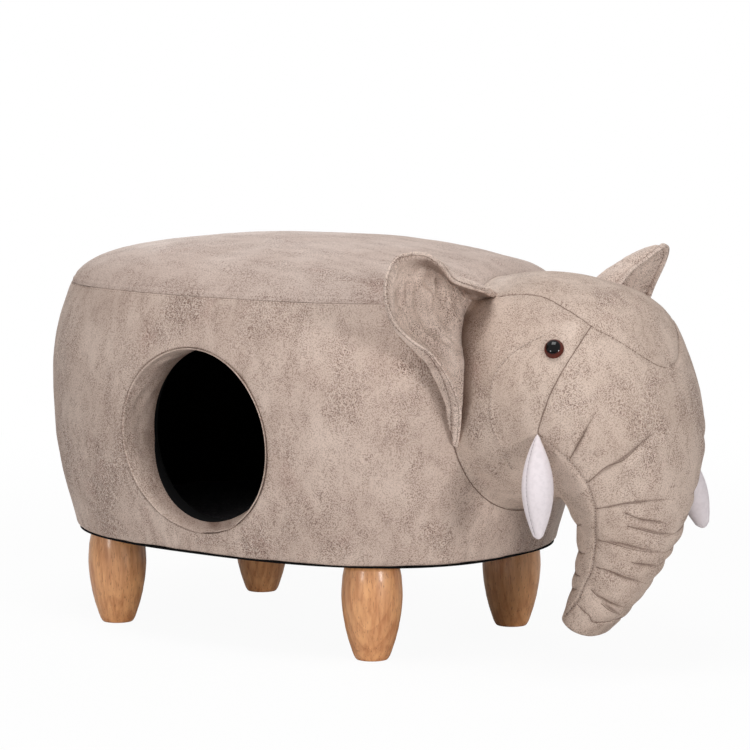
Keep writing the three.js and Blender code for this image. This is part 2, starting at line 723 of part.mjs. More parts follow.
add('head', head, hide);
add('trunk', stuffedTrunk(0), hide);

// Tail: a flat strap sewn to the back, with a short tuft
const tailRiseShare = 0.45;
const tailTop = widestHeight + tailLength * tailRiseShare;
const tailBottom = tailTop - tailLength;
const strapRings = heightSteps(tailBottom, tailTop, tailSteps).map(z => {
  const x = -(halfLength - sideInset(z)) - fit;
  return [[0, 1], [0, -1], [-1, -1], [-1, 1]].map(([out, aside]) =>
    new THREE.Vector3(x + out * tailThickness, aside * tailWidth / 2, z));
});
add('tail', solidOf(loft(strapRings)), hide);
const tuftShares = [[0.55, 0], [0.8, 0.12], [1, 0.4], [0.92, 0.65], [0.6, 0.9], [0.3, 1]];
const tuft = loft(tuftShares.map(([width, share]) => {
  const z = tailBottom - fit - share * tuftLength;
  const depth = tuftDiameter / 2 * width;
  const x = -(halfLength - sideInset(tailBottom)) - fit - depth / 2;
  return Array.from({ length: smallSteps }, (_, i) => {
    const angle = i / smallSteps * Math.PI * 2;
    return new THREE.Vector3(x + depth / 2 * Math.cos(angle), tuftDiameter / 2 * width * Math.sin(angle), z);
  });
}));
add('tail_tuft', solidOf(tuft).subtract(bodyTrim), hide);

// The origin is on the floor under the middle of the whole object
const box = new THREE.Box3().setFromObject(group);
group.position.x = -(box.min.x + box.max.x) / 2;
group.position.y = -(box.min.y + box.max.y) / 2;
group.updateMatrixWorld(true);

export default group;
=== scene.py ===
import math

import bmesh
import bpy
import numpy as np
from mathutils import Matrix, Vector, noise
from mathutils.bvhtree import BVHTree
from numpy import array, clip, cos, cross, exp, hypot, interp, linspace, maximum, minimum, outer, pi, sin, sqrt, where


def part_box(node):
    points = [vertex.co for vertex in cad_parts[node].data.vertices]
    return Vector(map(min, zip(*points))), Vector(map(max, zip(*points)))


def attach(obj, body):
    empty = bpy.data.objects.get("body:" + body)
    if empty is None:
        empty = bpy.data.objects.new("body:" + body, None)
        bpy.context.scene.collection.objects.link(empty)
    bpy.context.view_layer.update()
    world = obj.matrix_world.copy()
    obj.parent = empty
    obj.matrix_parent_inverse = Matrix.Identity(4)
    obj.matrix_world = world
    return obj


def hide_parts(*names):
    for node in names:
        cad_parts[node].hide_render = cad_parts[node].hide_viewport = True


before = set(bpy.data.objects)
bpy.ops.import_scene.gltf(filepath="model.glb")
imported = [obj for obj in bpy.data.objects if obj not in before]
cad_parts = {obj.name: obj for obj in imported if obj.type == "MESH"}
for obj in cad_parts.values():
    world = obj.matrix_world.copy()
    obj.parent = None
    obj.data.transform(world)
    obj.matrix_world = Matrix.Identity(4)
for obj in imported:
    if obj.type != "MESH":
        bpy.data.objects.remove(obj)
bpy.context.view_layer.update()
mm = 0.001
boardLow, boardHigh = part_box("base_board")
bodyMiddle = array([(boardLow.x + boardHigh.x) / 2, (boardLow.y + boardHigh.y) / 2, 0])
print("frame: loaded, the body's middle is at", bodyMiddle.round(4))


class Sizes(dict):  # a piece's own numbers, read as piece.name
    __getattr__ = dict.__getitem__


def addObject(name, data):
    thing = bpy.data.objects.new(name, data)
    bpy.context.scene.collection.objects.link(thing)
    return thing


# Camera with a long lens, to the front right and looking down a little
camera = Sizes(turn=37.99, tilt=6.29, lens=163.2, place=(2.0798, -2.5653, 0.6095))
cameraData = bpy.data.cameras.new("camera")
cameraData.lens, cameraData.clip_end = camera.lens, 50
cameraObject = addObject("camera", cameraData)
cameraObject.location = Vector(camera.place) + Vector(bodyMiddle)
cameraObject.rotation_euler = (math.radians(90 - camera.tilt), 0, math.radians(camera.turn))
bpy.context.scene.camera = cameraObject


class Wire:  # shader maths as Python expressions: a Wire holds one socket
    def __init__(self, tree, socket=None):
        self.tree, self.socket = tree, socket

    def node(self, kind, inputs=None, settings=None, out=0):
        made = self.tree.nodes.new("ShaderNode" + kind)
        for name, value in (settings or {}).items():
            setattr(made, name, value)
        for name, value in (inputs or {}).items():
            if isinstance(value, Wire):
                self.tree.links.new(value.socket, made.inputs[name])
            else:
                made.inputs[name].default_value = value
        return Wire(self.tree, made.outputs[out] if made.outputs else None)

    def maths(self, operation, a, b=0):
        return self.node("Math", {0: a, 1: b}, {"operation": operation})

    def __add__(self, other): return self.maths("ADD", self, other)
    def __sub__(self, other): return self.maths("SUBTRACT", self, other)
    def __rsub__(self, other): return self.maths("SUBTRACT", other, self)
    def __mul__(self, other): return self.maths("MULTIPLY", self, other)
    __radd__, __rmul__ = __add__, __mul__

    def ramp(self, low, high):
        return self.node("MapRange", {0: self, 1: low, 2: high}, {"interpolation_type": "SMOOTHSTEP"})

    def mix(self, a, b):  # between wires, or colours in screen values from 0 to 255
        a, b = (part if isinstance(part, Wire) else tone(part) for part in (a, b))
        return self.node("Mix", {0: self, 6: a, 7: b}, {"data_type": "RGBA"}, 2)

    def noise(self, scale, detail=2, distortion=0, out=0):
        return self.node("TexNoise", {"Vector": self, "Scale": scale, "Detail": detail,
                                      "Distortion": distortion}, out=out)

    def cells(self, scale):
        return self.node("TexVoronoi", {"Vector": self, "Scale": scale}, {"feature": "DISTANCE_TO_EDGE"})

    def bend(self, scale, by):  # a place, moved a little by noise
        return self.node("VectorMath", {0: self.noise(scale, out=1), 1: (by, by, by), 2: self},
                         {"operation": "MULTIPLY_ADD"})

    def stretch(self, scale):
        return self.node("Mapping", {"Vector": self, "Scale": scale})

    def attribute(self, name):
        return self.node("Attribute", None, {"attribute_name": name}, 2)


def tone(colour):
    return tuple(v / 12.92 if v <= 0.04045 else ((v + 0.055) / 1.055) ** 2.4
                 for v in (part / 255 for part in colour)) + (1,)


def newFinish(name, **settings):
    material = bpy.data.materials.new(name)
    material.use_nodes = True
    surface = material.node_tree.nodes["Principled BSDF"]
    for socket, value in settings.items():
        surface.inputs[socket.replace("_", " ")].default_value = value
    return material, surface, Wire(material.node_tree).node("TexCoord", out=3)


def feed(surface, socket, wire):
    wire.tree.links.new(wire.socket, surface.inputs[socket])


def paint(surface, colour, rough, height, relief, strength):
    feed(surface, "Base Color", colour)
    if rough:
        feed(surface, "Roughness", rough)
    feed(surface, "Normal", height.node("Bump", {"Height": height, "Distance": relief, "Strength": strength}))


hide = Sizes(
    light=(210, 190, 177), dark=(174, 151, 138), cell=(140, 115, 103),
    speck=(122, 99, 88), blush=(182, 146, 134), ridge=(218, 200, 188),
    # the first colour on the next line is not the hide's own: it is the colour of painted shade in hollows, seams and
    # folds
    groove=(88, 61, 47), cloudScale=15, patchScale=12, cellScale=255,
    pebbleScale=760, grainScale=1000, roughness=0.6, relief=0.0004,
)


def hideFinish(name, light, dark, stretch, crackle=1, speckle=1):
    # Worn faux leather: soft clouds, patches of dark cells between pale ridges, fine pebbles, and painted shade read
    # from an attribute
    material, surface, place = newFinish(name, Roughness=hide.roughness, Specular_IOR_Level=0.3)
    bent = place.bend(38, 0.016)
    drawn = bent.stretch(stretch)
    cloud = place.noise(hide.cloudScale, 6, 0.3).ramp(0.34, 0.68)
    wear = drawn.noise(hide.cloudScale * 3, 6, 0.5).ramp(0.36, 0.66)
    blush = place.noise(hide.cloudScale * 1.3, 4, 0.7).ramp(0.5, 0.68)
    patches = 0.5 * drawn.noise(hide.patchScale, 5, 0.6).ramp(0.5, 0.66)
    patches = (patches + place.attribute("worn")).ramp(0, 1)
    cells = drawn.cells(hide.cellScale)
    uneven = bent.noise(hide.cellScale * 0.7, 2).ramp(0.38, 0.62)
    pits = cells.ramp(0.08, 0.26) * patches * (0.35 + 0.65 * uneven) * crackle
    ridges = (1 - cells.ramp(0.02, 0.13)) * patches * crackle
    pores = drawn.cells(hide.pebbleScale).ramp(0.1, 0.36) * (0.4 + 0.6 * wear)
    grain = bent.noise(hide.grainScale, 0.5)
    specks = grain.ramp(0.51, 0.61) * (0.36 + 0.4 * wear + 0.55 * patches) * speckle
    coarse = bent.noise(hide.grainScale * 0.55, 1).ramp(0.53, 0.66) * patches * speckle
    colour = (cloud * 0.4).mix(light, dark)
    layers = ((blush * patches * 0.6, hide.blush), (wear * 0.25, dark), (ridges * 0.72, hide.ridge),
              (pores * 0.36 * speckle, hide.speck), (coarse * 0.3, hide.speck),
              (specks * 0.85, hide.speck), (pits * 0.8, hide.cell),
              # painted shade: darker towards the shade colour in creases, seams, folds and hollows
              (place.attribute("paintedShade") * 0.85, hide.groove))
    for share, over in layers:
        colour = share.mix(colour, over)
    paint(surface, colour, 0.5 + 0.16 * grain + 0.12 * cloud,
          0.5 * ridges - 0.4 * grain - 0.3 * pores - 0.8 * pits, hide.relief, 0.75)
    return material


hideSide = hideFinish("hide_side", hide.light, hide.dark, (1.6, 1.6, 0.75), 1, 1.1)
hideSeat = hideFinish("hide_seat", (208, 189, 178), (186, 165, 154), (0.6, 1.25, 1.5), 0.85, 1.1)
hideHead = hideFinish("hide_head", (209, 189, 175), (176, 154, 139), (1.5, 1.5, 1.05), 0.95, 1.1)
# the ears' hide is painted lighter than the body's, standing in for the light on the ears' faces
hideEar = hideFinish("hide_ear", (232, 212, 199), (204, 182, 168), (1.5, 1.5, 1.1), 0.6, 1.15)


def clothFinish(name, colour, fleck, scale, roughness, relief):
    material, surface, place = newFinish(name, Roughness=roughness, Specular_IOR_Level=0.12)
    fibre = place.noise(scale, 3, 0.4)
    paint(surface, fibre.ramp(0.4, 0.7).mix(colour, fleck), None, fibre, relief, 0.6)
    return material


blackCloth = clothFinish("black_cloth", (10, 10, 11), (17, 17, 18), 900, 0.95, 0.0003)
matCloth = clothFinish("mat_cloth", (48, 47, 50), (72, 71, 75), 420, 0.95, 0.001)
tuskFinish = clothFinish("tusk_hide", (225, 216, 219), (218, 209, 212), 260, 0.55, 0.00003)
# the dark thread also makes dark lines along seams and darts that are painted shadow in their grooves and valleys
threadAndShadowFinish, paleThread, tuskThreadAndShadow = (clothFinish(name, a, b, 2500, 0.8, 0.00005) for name, a, b in (
    ("threadAndShadowCords", (104, 84, 74), (130, 108, 96)), ("pale_thread", (212, 196, 185), (176, 156, 144)),
    ("tusk_thread_and_shadow", (158, 147, 151), (184, 174, 178))))


def woodFinish(name, light, dark, pore, ring, stretch, roughness, coat):
    material, surface, place = newFinish(name, Roughness=roughness, Coat_Weight=coat, Coat_Roughness=0.18)
    long = place.stretch(stretch)
    if ring:
        rings = place.node("TexWave", {"Vector": long.bend(22, 0.02), "Scale": ring, "Distortion": 3,
                                       "Detail": 2}, {"wave_type": "RINGS", "rings_direction": "Z"})
    else:  # turned pieces carry their years of growth as an attribute
        years = place.attribute("growth") + 2.2 * long.noise(14, 2)
        years = years.maths("FRACT", years)
        rings = years.ramp(0.25, 0.92) * (1 - years.ramp(0.93, 1))
    streak = long.noise(240, 4, 0.3).ramp(0.35, 0.7)
    pores = long.noise(900, 2).ramp(0.6, 0.7)
    cloud = place.noise(26, 2).ramp(0.35, 0.7)
    colour = (0.2 * rings + 0.46 * streak + 0.34 * cloud).mix(light, dark)
    paint(surface, (pores * 0.55).mix(colour, pore), roughness + 0.12 * streak, 1 - pores, 0.00012, 0.5)
    return material


turnedWood = woodFinish("turned_wood", (230, 170, 116), (172, 104, 58), (124, 70, 36), 0, (1, 1, 0.14), 0.36, 0.3)
plywood = woodFinish("plywood", (214, 184, 138), (188, 152, 104), (150, 116, 76), 6, (0.2, 1, 1), 0.65, 0)
hardboard = woodFinish("hardboard", (132, 98, 64), (108, 78, 48), (80, 56, 34), 4, (1, 1, 1), 0.8, 0)

steelFinish, surface, place = newFinish("zinc_steel", Metallic=1, Roughness=0.35)
spangle = place.noise(180, 3)
feed(surface, "Base Color", spangle.ramp(0.3, 0.7).mix((176, 178, 180), (146, 149, 152)))
feed(surface, "Roughness", 0.28 + 0.2 * spangle)

nylonFinish, surface, place = newFinish("nylon", Roughness=0.4)
feed(surface, "Base Color", place.noise(90).ramp(0.3, 0.7).mix((218, 218, 214), (204, 204, 200)))

eyeFinish, surface, place = newFinish("eye_gloss", Roughness=0.25, Coat_Weight=1, Coat_Roughness=0.03,
                                      Coat_IOR=1.28, Specular_IOR_Level=0)
irisColour = (place.noise(700, 2) * 0.5).mix((92, 36, 24), (58, 22, 16))
feed(surface, "Base Color", place.attribute("ring").ramp(0.66, 0.84).mix((5, 4, 5), irisColour))
print("finishes: made")


# Helpers that shape the pieces. Sizes are in millimetres, from the body's middle and the floor.
def unit(value):
    return clip(value, 0, 1)


def bell(value, width, power=2):  # 1 at nothing, and falling off to both sides
    return exp(-(value / width) ** power)


def signed(value, power):
    return np.sign(value) * abs(value) ** power


def smooth(low, high, value):
    share = unit((value - low) / (high - low))
    return share * share * (3 - 2 * share)


def xyz(x, y, z):
    return np.stack(np.broadcast_arrays(x, y, z), 1)


def lengths(rows):
    return np.linalg.norm(rows, axis=1)


def unitRows(rows):
    return rows / (lengths(rows)[:, None] + 1e-12)


def runLength(line):
    return np.concatenate([[0], np.cumsum(lengths(np.diff(line, axis=0)))])


def readRows(at, upTo, rows):  # the columns of a table, read off between its rows
    return np.stack([interp(at, upTo, column) for column in np.transpose(rows)])


def spline(rows, share):  # a smooth line through rows of numbers, at shares from 0 to 1
    rows = np.asarray(rows, float)
    ends = np.vstack([2 * rows[0] - rows[1], rows, 2 * rows[-1] - rows[-2]])
    place = unit(np.atleast_1d(share)) * (len(rows) - 1)
    i = minimum(place.astype(int), len(rows) - 2)
    f = (place - i)[:, None]
    a, b, c, d = ends[i], ends[i + 1], ends[i + 2], ends[i + 3]
    return b + f * (c - a) / 2 + f**2 * (a - 2.5 * b + 2 * c - d / 2) + f**3 * (1.5 * (b - c) + (d - a) / 2)


def lumps(points, size, seed, octaves=2):  # soft uneven height between about -1 and 1
    offset = Vector((seed * 7.3, seed * 3.1, seed * 5.7))
    return array([noise.fractal(Vector(p) / size + offset, 1, 2, octaves) for p in points])


def finish(piece, material, replaced=()):
    piece.data.materials.clear()
    piece.data.materials.append(material)
    piece.data.polygons.foreach_set("use_smooth", [True] * len(piece.data.polygons))
    piece.data.update()
    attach(piece, "root")
    if replaced:
        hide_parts(*replaced)


def addMesh(name, bm):
    mesh = bpy.data.meshes.new(name)
    bm.to_mesh(mesh)
    bm.free()
    return addObject(name, mesh)


def read(piece, kind="co"):
    values = np.zeros(len(piece.data.vertices) * 3)
    piece.data.vertices.foreach_get(kind, values)
    return values.reshape(-1, 3)


def readSkin(piece):
    return toMiddle(read(piece)), read(piece, "normal")


def write(piece, points, outs=0, lift=0):  # moved out along the normals by the lift
    points = points + outs * np.reshape(lift, (-1, 1))
    piece.data.vertices.foreach_set("co", toFrame(points).ravel())
    piece.data.update()


def toMiddle(points):  # metres in the frame to millimetres from the body's middle
    return (points - bodyMiddle) / mm


def toFrame(points):
    return points * mm + bodyMiddle


def keep(piece, name, values):
    piece.data.attributes.new(name, "FLOAT", "POINT").data.foreach_set("value", values)


def remesh(piece, gone=(), merge=0, other=None, fill=False):
    # Takes points out, merges doubled ones, takes in another piece or closes the holes
    bm = bmesh.new()
    bm.from_mesh(piece.data)
    if other:
        bm.from_mesh(other.data)
        bpy.data.objects.remove(other)
    if len(gone):
        bm.verts.ensure_lookup_table()
        bmesh.ops.delete(bm, geom=[bm.verts[i] for i in gone], context="VERTS")
    if merge:
        bmesh.ops.remove_doubles(bm, verts=bm.verts, dist=merge)
    if fill:
        bmesh.ops.holes_fill(bm, edges=[e for e in bm.edges if e.is_boundary], sides=0)
    bmesh.ops.recalc_face_normals(bm, faces=bm.faces)
    bm.to_mesh(piece.data)
    bm.free()


def grid(name, columns, rows, place, drop=None):
    # A grid of faces, put in place by the shares across and up, with its doubled edges merged
    bm = bmesh.new()
    bmesh.ops.create_grid(bm, x_segments=columns, y_segments=rows, size=1)
    piece = addMesh(name, bm)
    flat = read(piece)[:, :2]
    u, v = ((flat - flat.min(0)) / (flat.max(0) - flat.min(0))).T
    points = place(u, v)
    # a place may also give painted shade, which is kept as an attribute
    if isinstance(points, tuple):
        points, shade = points
        keep(piece, "paintedShade", shade)
    write(piece, points)
    remesh(piece, where(drop(u, v))[0] if drop else (), 2e-6)
    return piece


def turned(profile, steps, x=0, y=0):
    bm = bmesh.new()
    chain = [bm.verts.new((x + radius * mm, y, z * mm)) for radius, z in profile]
    edges = [bm.edges.new(pair) for pair in zip(chain, chain[1:])]
    bmesh.ops.spin(bm, geom=chain + edges, cent=(x, y, 0), axis=(0, 0, 1), angle=math.tau, steps=steps,
                   use_merge=True)
    bmesh.ops.remove_doubles(bm, verts=bm.verts, dist=1e-6)
    bmesh.ops.recalc_face_normals(bm, faces=bm.faces)
    return bm


def levelOuts(points, outs, height):
    # Near the seam the skins move level with the floor, so that their edges stay together
    near = smooth(9, 0, height)[:, None]
    return outs * (1 - near) + unitRows(points * (1, 1, 0)) * near


def wornAt(points, spots):  # soft worn places: forward, aside, up, reach, strength
    worn = np.zeros(len(points))
    for x, y, z, reach, strength in spots:
        gap = lengths((points - (x, y, z)) / reach)
        worn = maximum(worn, strength * exp(-gap ** 2 * 1.2) * (0.75 + 0.5 * lumps(points, 16, 41)))
    return unit(worn)


def nearLine(points, line, reach):
    # Each point's distance to a line, how far along the line its nearest place is, and the line's length
    gap, along = np.full(len(points), float(reach)), np.zeros(len(points))
    near = where(((points > line.min(0) - reach) & (points < line.max(0) + reach)).all(1))[0]
    step, upTo, nearPoints = np.diff(line, axis=0), runLength(line), points[near]
    length = maximum(lengths(step), 1e-9)
    for i in range(len(step)):
        offset = nearPoints - line[i]
        share = unit(offset @ step[i] / length[i] ** 2)
        distance = lengths(offset - share[:, None] * step[i])
        closer = distance < gap[near]
        gap[near[closer]] = distance[closer]
        along[near[closer]] = (upTo[i] + share * length[i])[closer]
    return gap, along, upTo[-1]


def seamLift(points, line, depth=1, puff=0.6, width=1.6, pucker=0.2, reach=22):
    # A sewn seam: a narrow groove between two soft swells, puckered along its length; also gives the painted shade of
    # its groove
    gap, along, length = nearLine(points, line, reach)
    ends = smooth(0, 6, along) * smooth(0, 6, length - along)
    swell = puff * (gap / 6) * exp(1 - gap / 6) * (gap < reach)
    folds = pucker * sin(along * 0.95 + 2 * sin(along * 0.13)) * bell(gap, 5)
    lift = (swell + folds - depth * bell(gap, width)) * (0.15 + 0.85 * ends)
    return where(gap < reach, lift, 0), bell(gap, 1.05) * ends


def foldLift(points, line, depth, start=0.35, width=3, reach=26):
    # A fold or dart: a sharp valley with rounded shoulders, deepest near its start; also gives the painted shade of
    # its valley
    gap, along, length = nearLine(points, line, reach)
    share = along / length
    strength = smooth(-0.02, start, share) ** 0.5 * smooth(1, 0.45, share)
    strength = maximum(strength, 0.45 * smooth(0.3, 0, share))
    valley = -depth * exp((0.7 - sqrt(gap**2 + 0.49)) / width)
    shoulder = 0.3 * depth * bell(gap - 3.2 * width, 1.9 * width)
    return where(gap < reach, (valley + shoulder) * strength, 0), bell(gap, 1.5) * strength


def onSurface(piece, line):
    # Drops a line's points onto a finished piece, and gives the way out at each
    tree = BVHTree.FromPolygons([v.co for v in piece.data.vertices], [p.vertices for p in piece.data.polygons])
    spots = [Vector(point) for point in toFrame(line)]
    outs = array([tree.find_nearest(spot)[1] for spot in spots])
    ends = np.vstack([np.repeat(outs[:1], 6, 0), outs, np.repeat(outs[-1:], 6, 0)])
    outs = unitRows(np.stack([np.convolve(side, np.hanning(15)[1:-1], "valid") for side in ends.T], 1))
    places = []
    for spot, out in zip(spots, outs):
        hit = tree.ray_cast(spot + Vector(out) * 0.008, -Vector(out), 0.02)[0]
        places.append(array(hit or tree.find_nearest(spot)[0]))
    return array(places), outs


def threadAndShadowCords(name, runs, material=threadAndShadowFinish):
    # Round curves along lines on the surface, made mesh: runs are (places, outs, radius, lift). They lay stitches,
    # dark seam lines that are partly painted shadow, and dart lines that are painted shadow
    curve = bpy.data.curves.new(name, "CURVE")
    curve.dimensions, curve.bevel_depth, curve.bevel_resolution = "3D", mm, 1
    curve.use_fill_caps = True
    for places, outs, radius, lift in runs:
        line = curve.splines.new("POLY")
        line.points.add(len(places) - 1)
        spots = np.hstack([places + outs * lift * mm, np.ones((len(places), 1))])
        line.points.foreach_set("co", spots.ravel())
        line.points.foreach_set("radius", np.full(len(places), radius, float))
    laid = bpy.data.objects.new(name, curve)
    mesh = bpy.data.meshes.new_from_object(laid)
    bpy.data.objects.remove(laid)
    bpy.data.curves.remove(curve)
    finish(addObject(name, mesh), material)


def stitches(places, outs, pitch, length, radius, lift=0.1):
    # Cuts a line on the surface into short runs of thread, pointed at both ends
    upTo = runLength(places / mm)
    sink, thin = array([-0.35, 0, 0.05, 0, -0.35])[:, None], array([0.45, 1, 1, 1, 0.45])
    runs = []
    for i in range(int(upTo[-1] / pitch)):
        at = clip((i + 0.5) * pitch + array([-0.5, -0.3, 0, 0.3, 0.5]) * length, 0, upTo[-1])
        spot, out = (readRows(at, upTo, rows).T for rows in (places, outs))
        runs.append((spot + out * mm * sink, out, radius * thin, lift))
    return runs


# Body: a rounded oval, widest at half its height, and a domed seat on a stitched seam
body = Sizes(
    halfLength=267, halfWidth=197.3, power=2.57, hemInset=24, hemHeight=92.4,
    widest=239, bulge=148, seamInset=18.7, seam=335, sidePower=2.2, rise=49.4,
    crownPower=2.28, columns=620, rows=104, seatColumns=250, seatRows=190, tuckAt=0.985, drawIn=0.9,
    worn=[  # forward, aside, up, reach, strength
        (-4, -189, 322, (26, 30, 30), 1), (-30, -189, 298, (22, 30, 14), 0.9), (92, -184, 368, (48, 30, 12), 1),
        (-111, -180, 162, (24, 30, 46), 1), (-121, -178, 108, (36, 30, 18), 0.9),
        (-182, -150, 262, (26, 30, 60), 0.9), (-190, -140, 180, (26, 40, 50), 0.8),
        (224, -115, 284, (22, 30, 30), 1), (117, -179, 196, (22, 30, 50), 0.6), (127, -176, 136, (40, 30, 30), 0.5),
        (205, -136, 128, (40, 30, 24), 0.4), (75, -186, 106, (46, 30, 12), 0.8), (160, -160, 110, (34, 30, 14), 0.7),
        (20, -189, 106, (30, 30, 10), 1), (-222, -100, 230, (34, 44, 80), 0.9), (-246, -50, 170, (30, 40, 60), 0.8),
        (-60, 188, 250, (60, 30, 40), 0.8), (110, 185, 170, (40, 30, 50), 0.7),
        (-250, 20, 240, (30, 50, 40), 0.8), (-40, 60, 384, (70, 40, 20), 0.6)],
)
entry = Sizes(
    forward=10, height=200.5, radius=87.4, throat=86.2, lip=2, depth=48.5, middleDepth=51.2, slant=20.4,
    inner=74, outer=104, endRadius=82.1, endForward=-3.2, endRise=3.6
)
halfLength, halfWidth, power = body.halfLength, body.halfWidth, body.power


def onAngle(angle, inset, z, share=1):  # a place on the oval, drawn in by an inset and scaled by a share
    return xyz((halfLength - inset) * share * signed(cos(angle), 2 / power),
               (halfWidth - inset) * share * signed(sin(angle), 2 / power), z)


ovalAngles = linspace(0, 2 * pi, 6001)
ovalUpTo = runLength(onAngle(ovalAngles, 0, 0))


def onOval(u, inset, z, share=1):  # the same at a share of the way round
    return onAngle(interp(u, ovalUpTo / ovalUpTo[-1], ovalAngles), inset, z, share)


def ovalOther(share):  # one coordinate of the oval, from the other, both as shares of their halves
    return unit(1 - abs(share) ** power) ** (1 / power)


def squareOval(u, v):
    # Concentric ovals from a square grid, so that the middle needs no pole: how far out, and the way there
    p, q = 2 * u - 1, 2 * v - 1
    square = maximum(maximum(abs(p), abs(q)), 1e-9)
    ring = (abs(p / square) ** power + abs(q / square) ** power + 1e-12) ** (-1 / power) / square
    return square, (ring * p, ring * q)


def onDisc(way, inset, share, z):
    return xyz((halfLength - inset) * share * way[0], (halfWidth - inset) * share * way[1], z)


def sideInset(z):
    down = unit((body.widest - z) / body.bulge)
    up = unit((z - body.widest) / (body.seam - body.widest))
    return body.hemInset * down ** body.sidePower + body.seamInset * up ** body.sidePower


def halfSizes(z):  # the half length and half width of the whole body at a height
    over = z > body.seam
    share = sqrt(clip(1 - ((z - body.seam) / body.rise) ** 2, 1e-6, 1)) ** (2 / body.crownPower)
    share, inset = where(over, share, 1), where(over, body.seamInset, sideInset(z))
    return (halfLength - inset) * share, (halfWidth - inset) * share


def bodyFront(points):  # how far forward the body's skin is at the points' places
    halfX, halfY = halfSizes(points[:, 2])
    return halfX * ovalOther(clip(points[:, 1], -190, 190) / halfY)


def bodySide(x, z):  # how far aside the skin of the right flank is
    halfX, halfY = halfSizes(z)
    return -halfY * ovalOther(x / halfX)


sideHeights = linspace(body.hemHeight + 2.2, body.seam, 60)
sideProfile = np.vstack([
    [[46, 92.8], [30, 92.5], [26.4, 92.5], [24.6, 92.9]],
    np.stack([sideInset(sideHeights), sideHeights], 1),
    [[19.3, 335.2], [20.6, 335]],
])
profileUpTo = runLength(sideProfile)


def onSide(u, v):  # a place on the side, without its entry
    return onOval(u, *readRows(v * profileUpTo[-1], profileUpTo, sideProfile))


def toEntry(x, z):
    across, up = x - entry.forward, z - entry.height
    return across, up, maximum(abs(across), abs(up))


def roundEntry(x, z, radius, tuck=0):
    # Makes the grid's square round the entry a ring: the places, their share from ring to square, and which
    across, up, square = toEntry(x, z)
    share = (square - entry.inner) / (entry.outer - entry.inner)
    ring = where(share > 0, radius * (1 - share), radius + tuck * share)
    grow = where(share > 0, share * entry.outer / maximum(square, 1e-9), 0) + ring / (hypot(across, up) + 1e-9)
    return entry.forward + across * grow, entry.height + up * grow, share, square < entry.outer


def placeSide(u, v):
    x, y, z = onSide(u, v).T
    newX, newZ, share, inside = roundEntry(x, z, entry.radius, 8)
    inside &= y < 0
    x, z = where(inside, newX, x), where(inside, newZ, z)
    return xyz(x, where(inside, bodySide(x, z) + unit(-share) * 30, y), z)


def dropEntry(u, v):
    x, y, z = onSide(u, v).T
    return (y < 0) & (toEntry(x, z)[2] < entry.inner - 4)


sideCover = grid("sideCover", body.columns, body.rows, placeSide, dropEntry)
points, outs = readSkin(sideCover)
x, y, z = points.T
below, hem, roundTo = body.seam - z, z - body.hemHeight, np.arctan2(y, x) * 240
lift = 0.9 * lumps(points, 70, 1) + 0.35 * lumps(points, 26, 2)
lift += -0.2 * bell(below, 1.6) + 0.2 * bell(below - 8, 6)
lift += 0.3 * sin(roundTo * 0.55 + 3 * lumps(points, 40, 3)) * bell(below, 9)
lift += 0.5 * sin(roundTo * 0.42 + 4 * lumps(points, 50, 4)) * bell(hem - 6, 8) * (hem > 1)
ringGap = where(y < 0, abs(hypot(x - entry.forward, z - entry.height) - entry.radius), 99)
lift += -0.35 * bell(ringGap, 1.2) + 0.3 * bell(ringGap - 7, 5)
lift -= body.drawIn * smooth(0, 12, hem)
write(sideCover, points, levelOuts(points, outs, below), lift)
keep(sideCover, "worn", wornAt(points, body.worn))
# painted shade in the groove of the entry's ring seam, and a band of painted shade under the seat's overhang, darker
# towards the seat seam
keep(sideCover, "paintedShade", 0.25 * bell(ringGap, 1.2) + 0.1 * smooth(60, 20, below))
finish(sideCover, hideSide, ["side_cover", "side_foam"])
print("side cover: shaped", len(sideCover.data.polygons))


def placeSeat(u, v):
    square, way = squareOval(u, v)
    tuck = smooth(body.tuckAt, 1, square)
    angle = minimum(square / body.tuckAt, 1) * pi / 2
    share = sin(angle) ** (2 / body.crownPower)
    rise = body.rise * cos(angle)
    inset = body.seamInset + 0.6 * tuck + 1.3 * (rise / 6) * exp(1 - rise / 6) + 1.2 * bell(rise - 14, 9)
    return onDisc(way, inset, share, body.seam + rise - 0.3 * tuck)


seatCover = grid("seatCover", body.seatColumns, body.seatRows, placeSeat)
points, outs = readSkin(seatCover)
x, y, z = points.T
edge, roundTo = z - body.seam, np.arctan2(y, x) * 230
lift = 0.8 * lumps(points, 80, 5) * smooth(0, 20, edge) + 0.3 * lumps(points, 24, 6)
lift += -0.25 * bell(edge, 1) + 0.45 * bell(edge - 3.8, 1.3) - 0.35 * bell(edge - 6.6, 1.4)
lift += 0.35 * sin(roundTo * 0.6 + 3 * lumps(points, 40, 7)) * bell(edge - 8, 8)
lift += 1.1 * smooth(120, 200, -x) * (1 - 1.6 * smooth(190, 245, -x))
lift -= 2.3 * smooth(40, 170, x) * smooth(205, 150, x) * smooth(4, 30, edge) + body.drawIn
write(seatCover, points, levelOuts(points, outs, edge), lift)
keep(seatCover, "worn", wornAt(points, body.worn))
# painted shade in the small groove above the seam and on the seat's lower edge, darker towards the seam
keep(seatCover, "paintedShade", 0.04 * bell(edge - 6.4, 1.2) + 0.1 * smooth(34, 12, edge))
finish(seatCover, hideSeat, ["seat_cover", "seat_foam"])
print("seat cover: shaped", len(seatCover.data.polygons))


def entryRing(radius, angle, share=0):  # forward and up, moving to the slanted end as the share grows
    return (entry.forward + radius * cos(angle) + entry.endForward * share,
            entry.height + radius * sin(angle) + entry.endRise * share)


def tunnelEnd(angle):
    return minimum(entry.depth, entry.middleDepth + entry.slant * sin(angle))


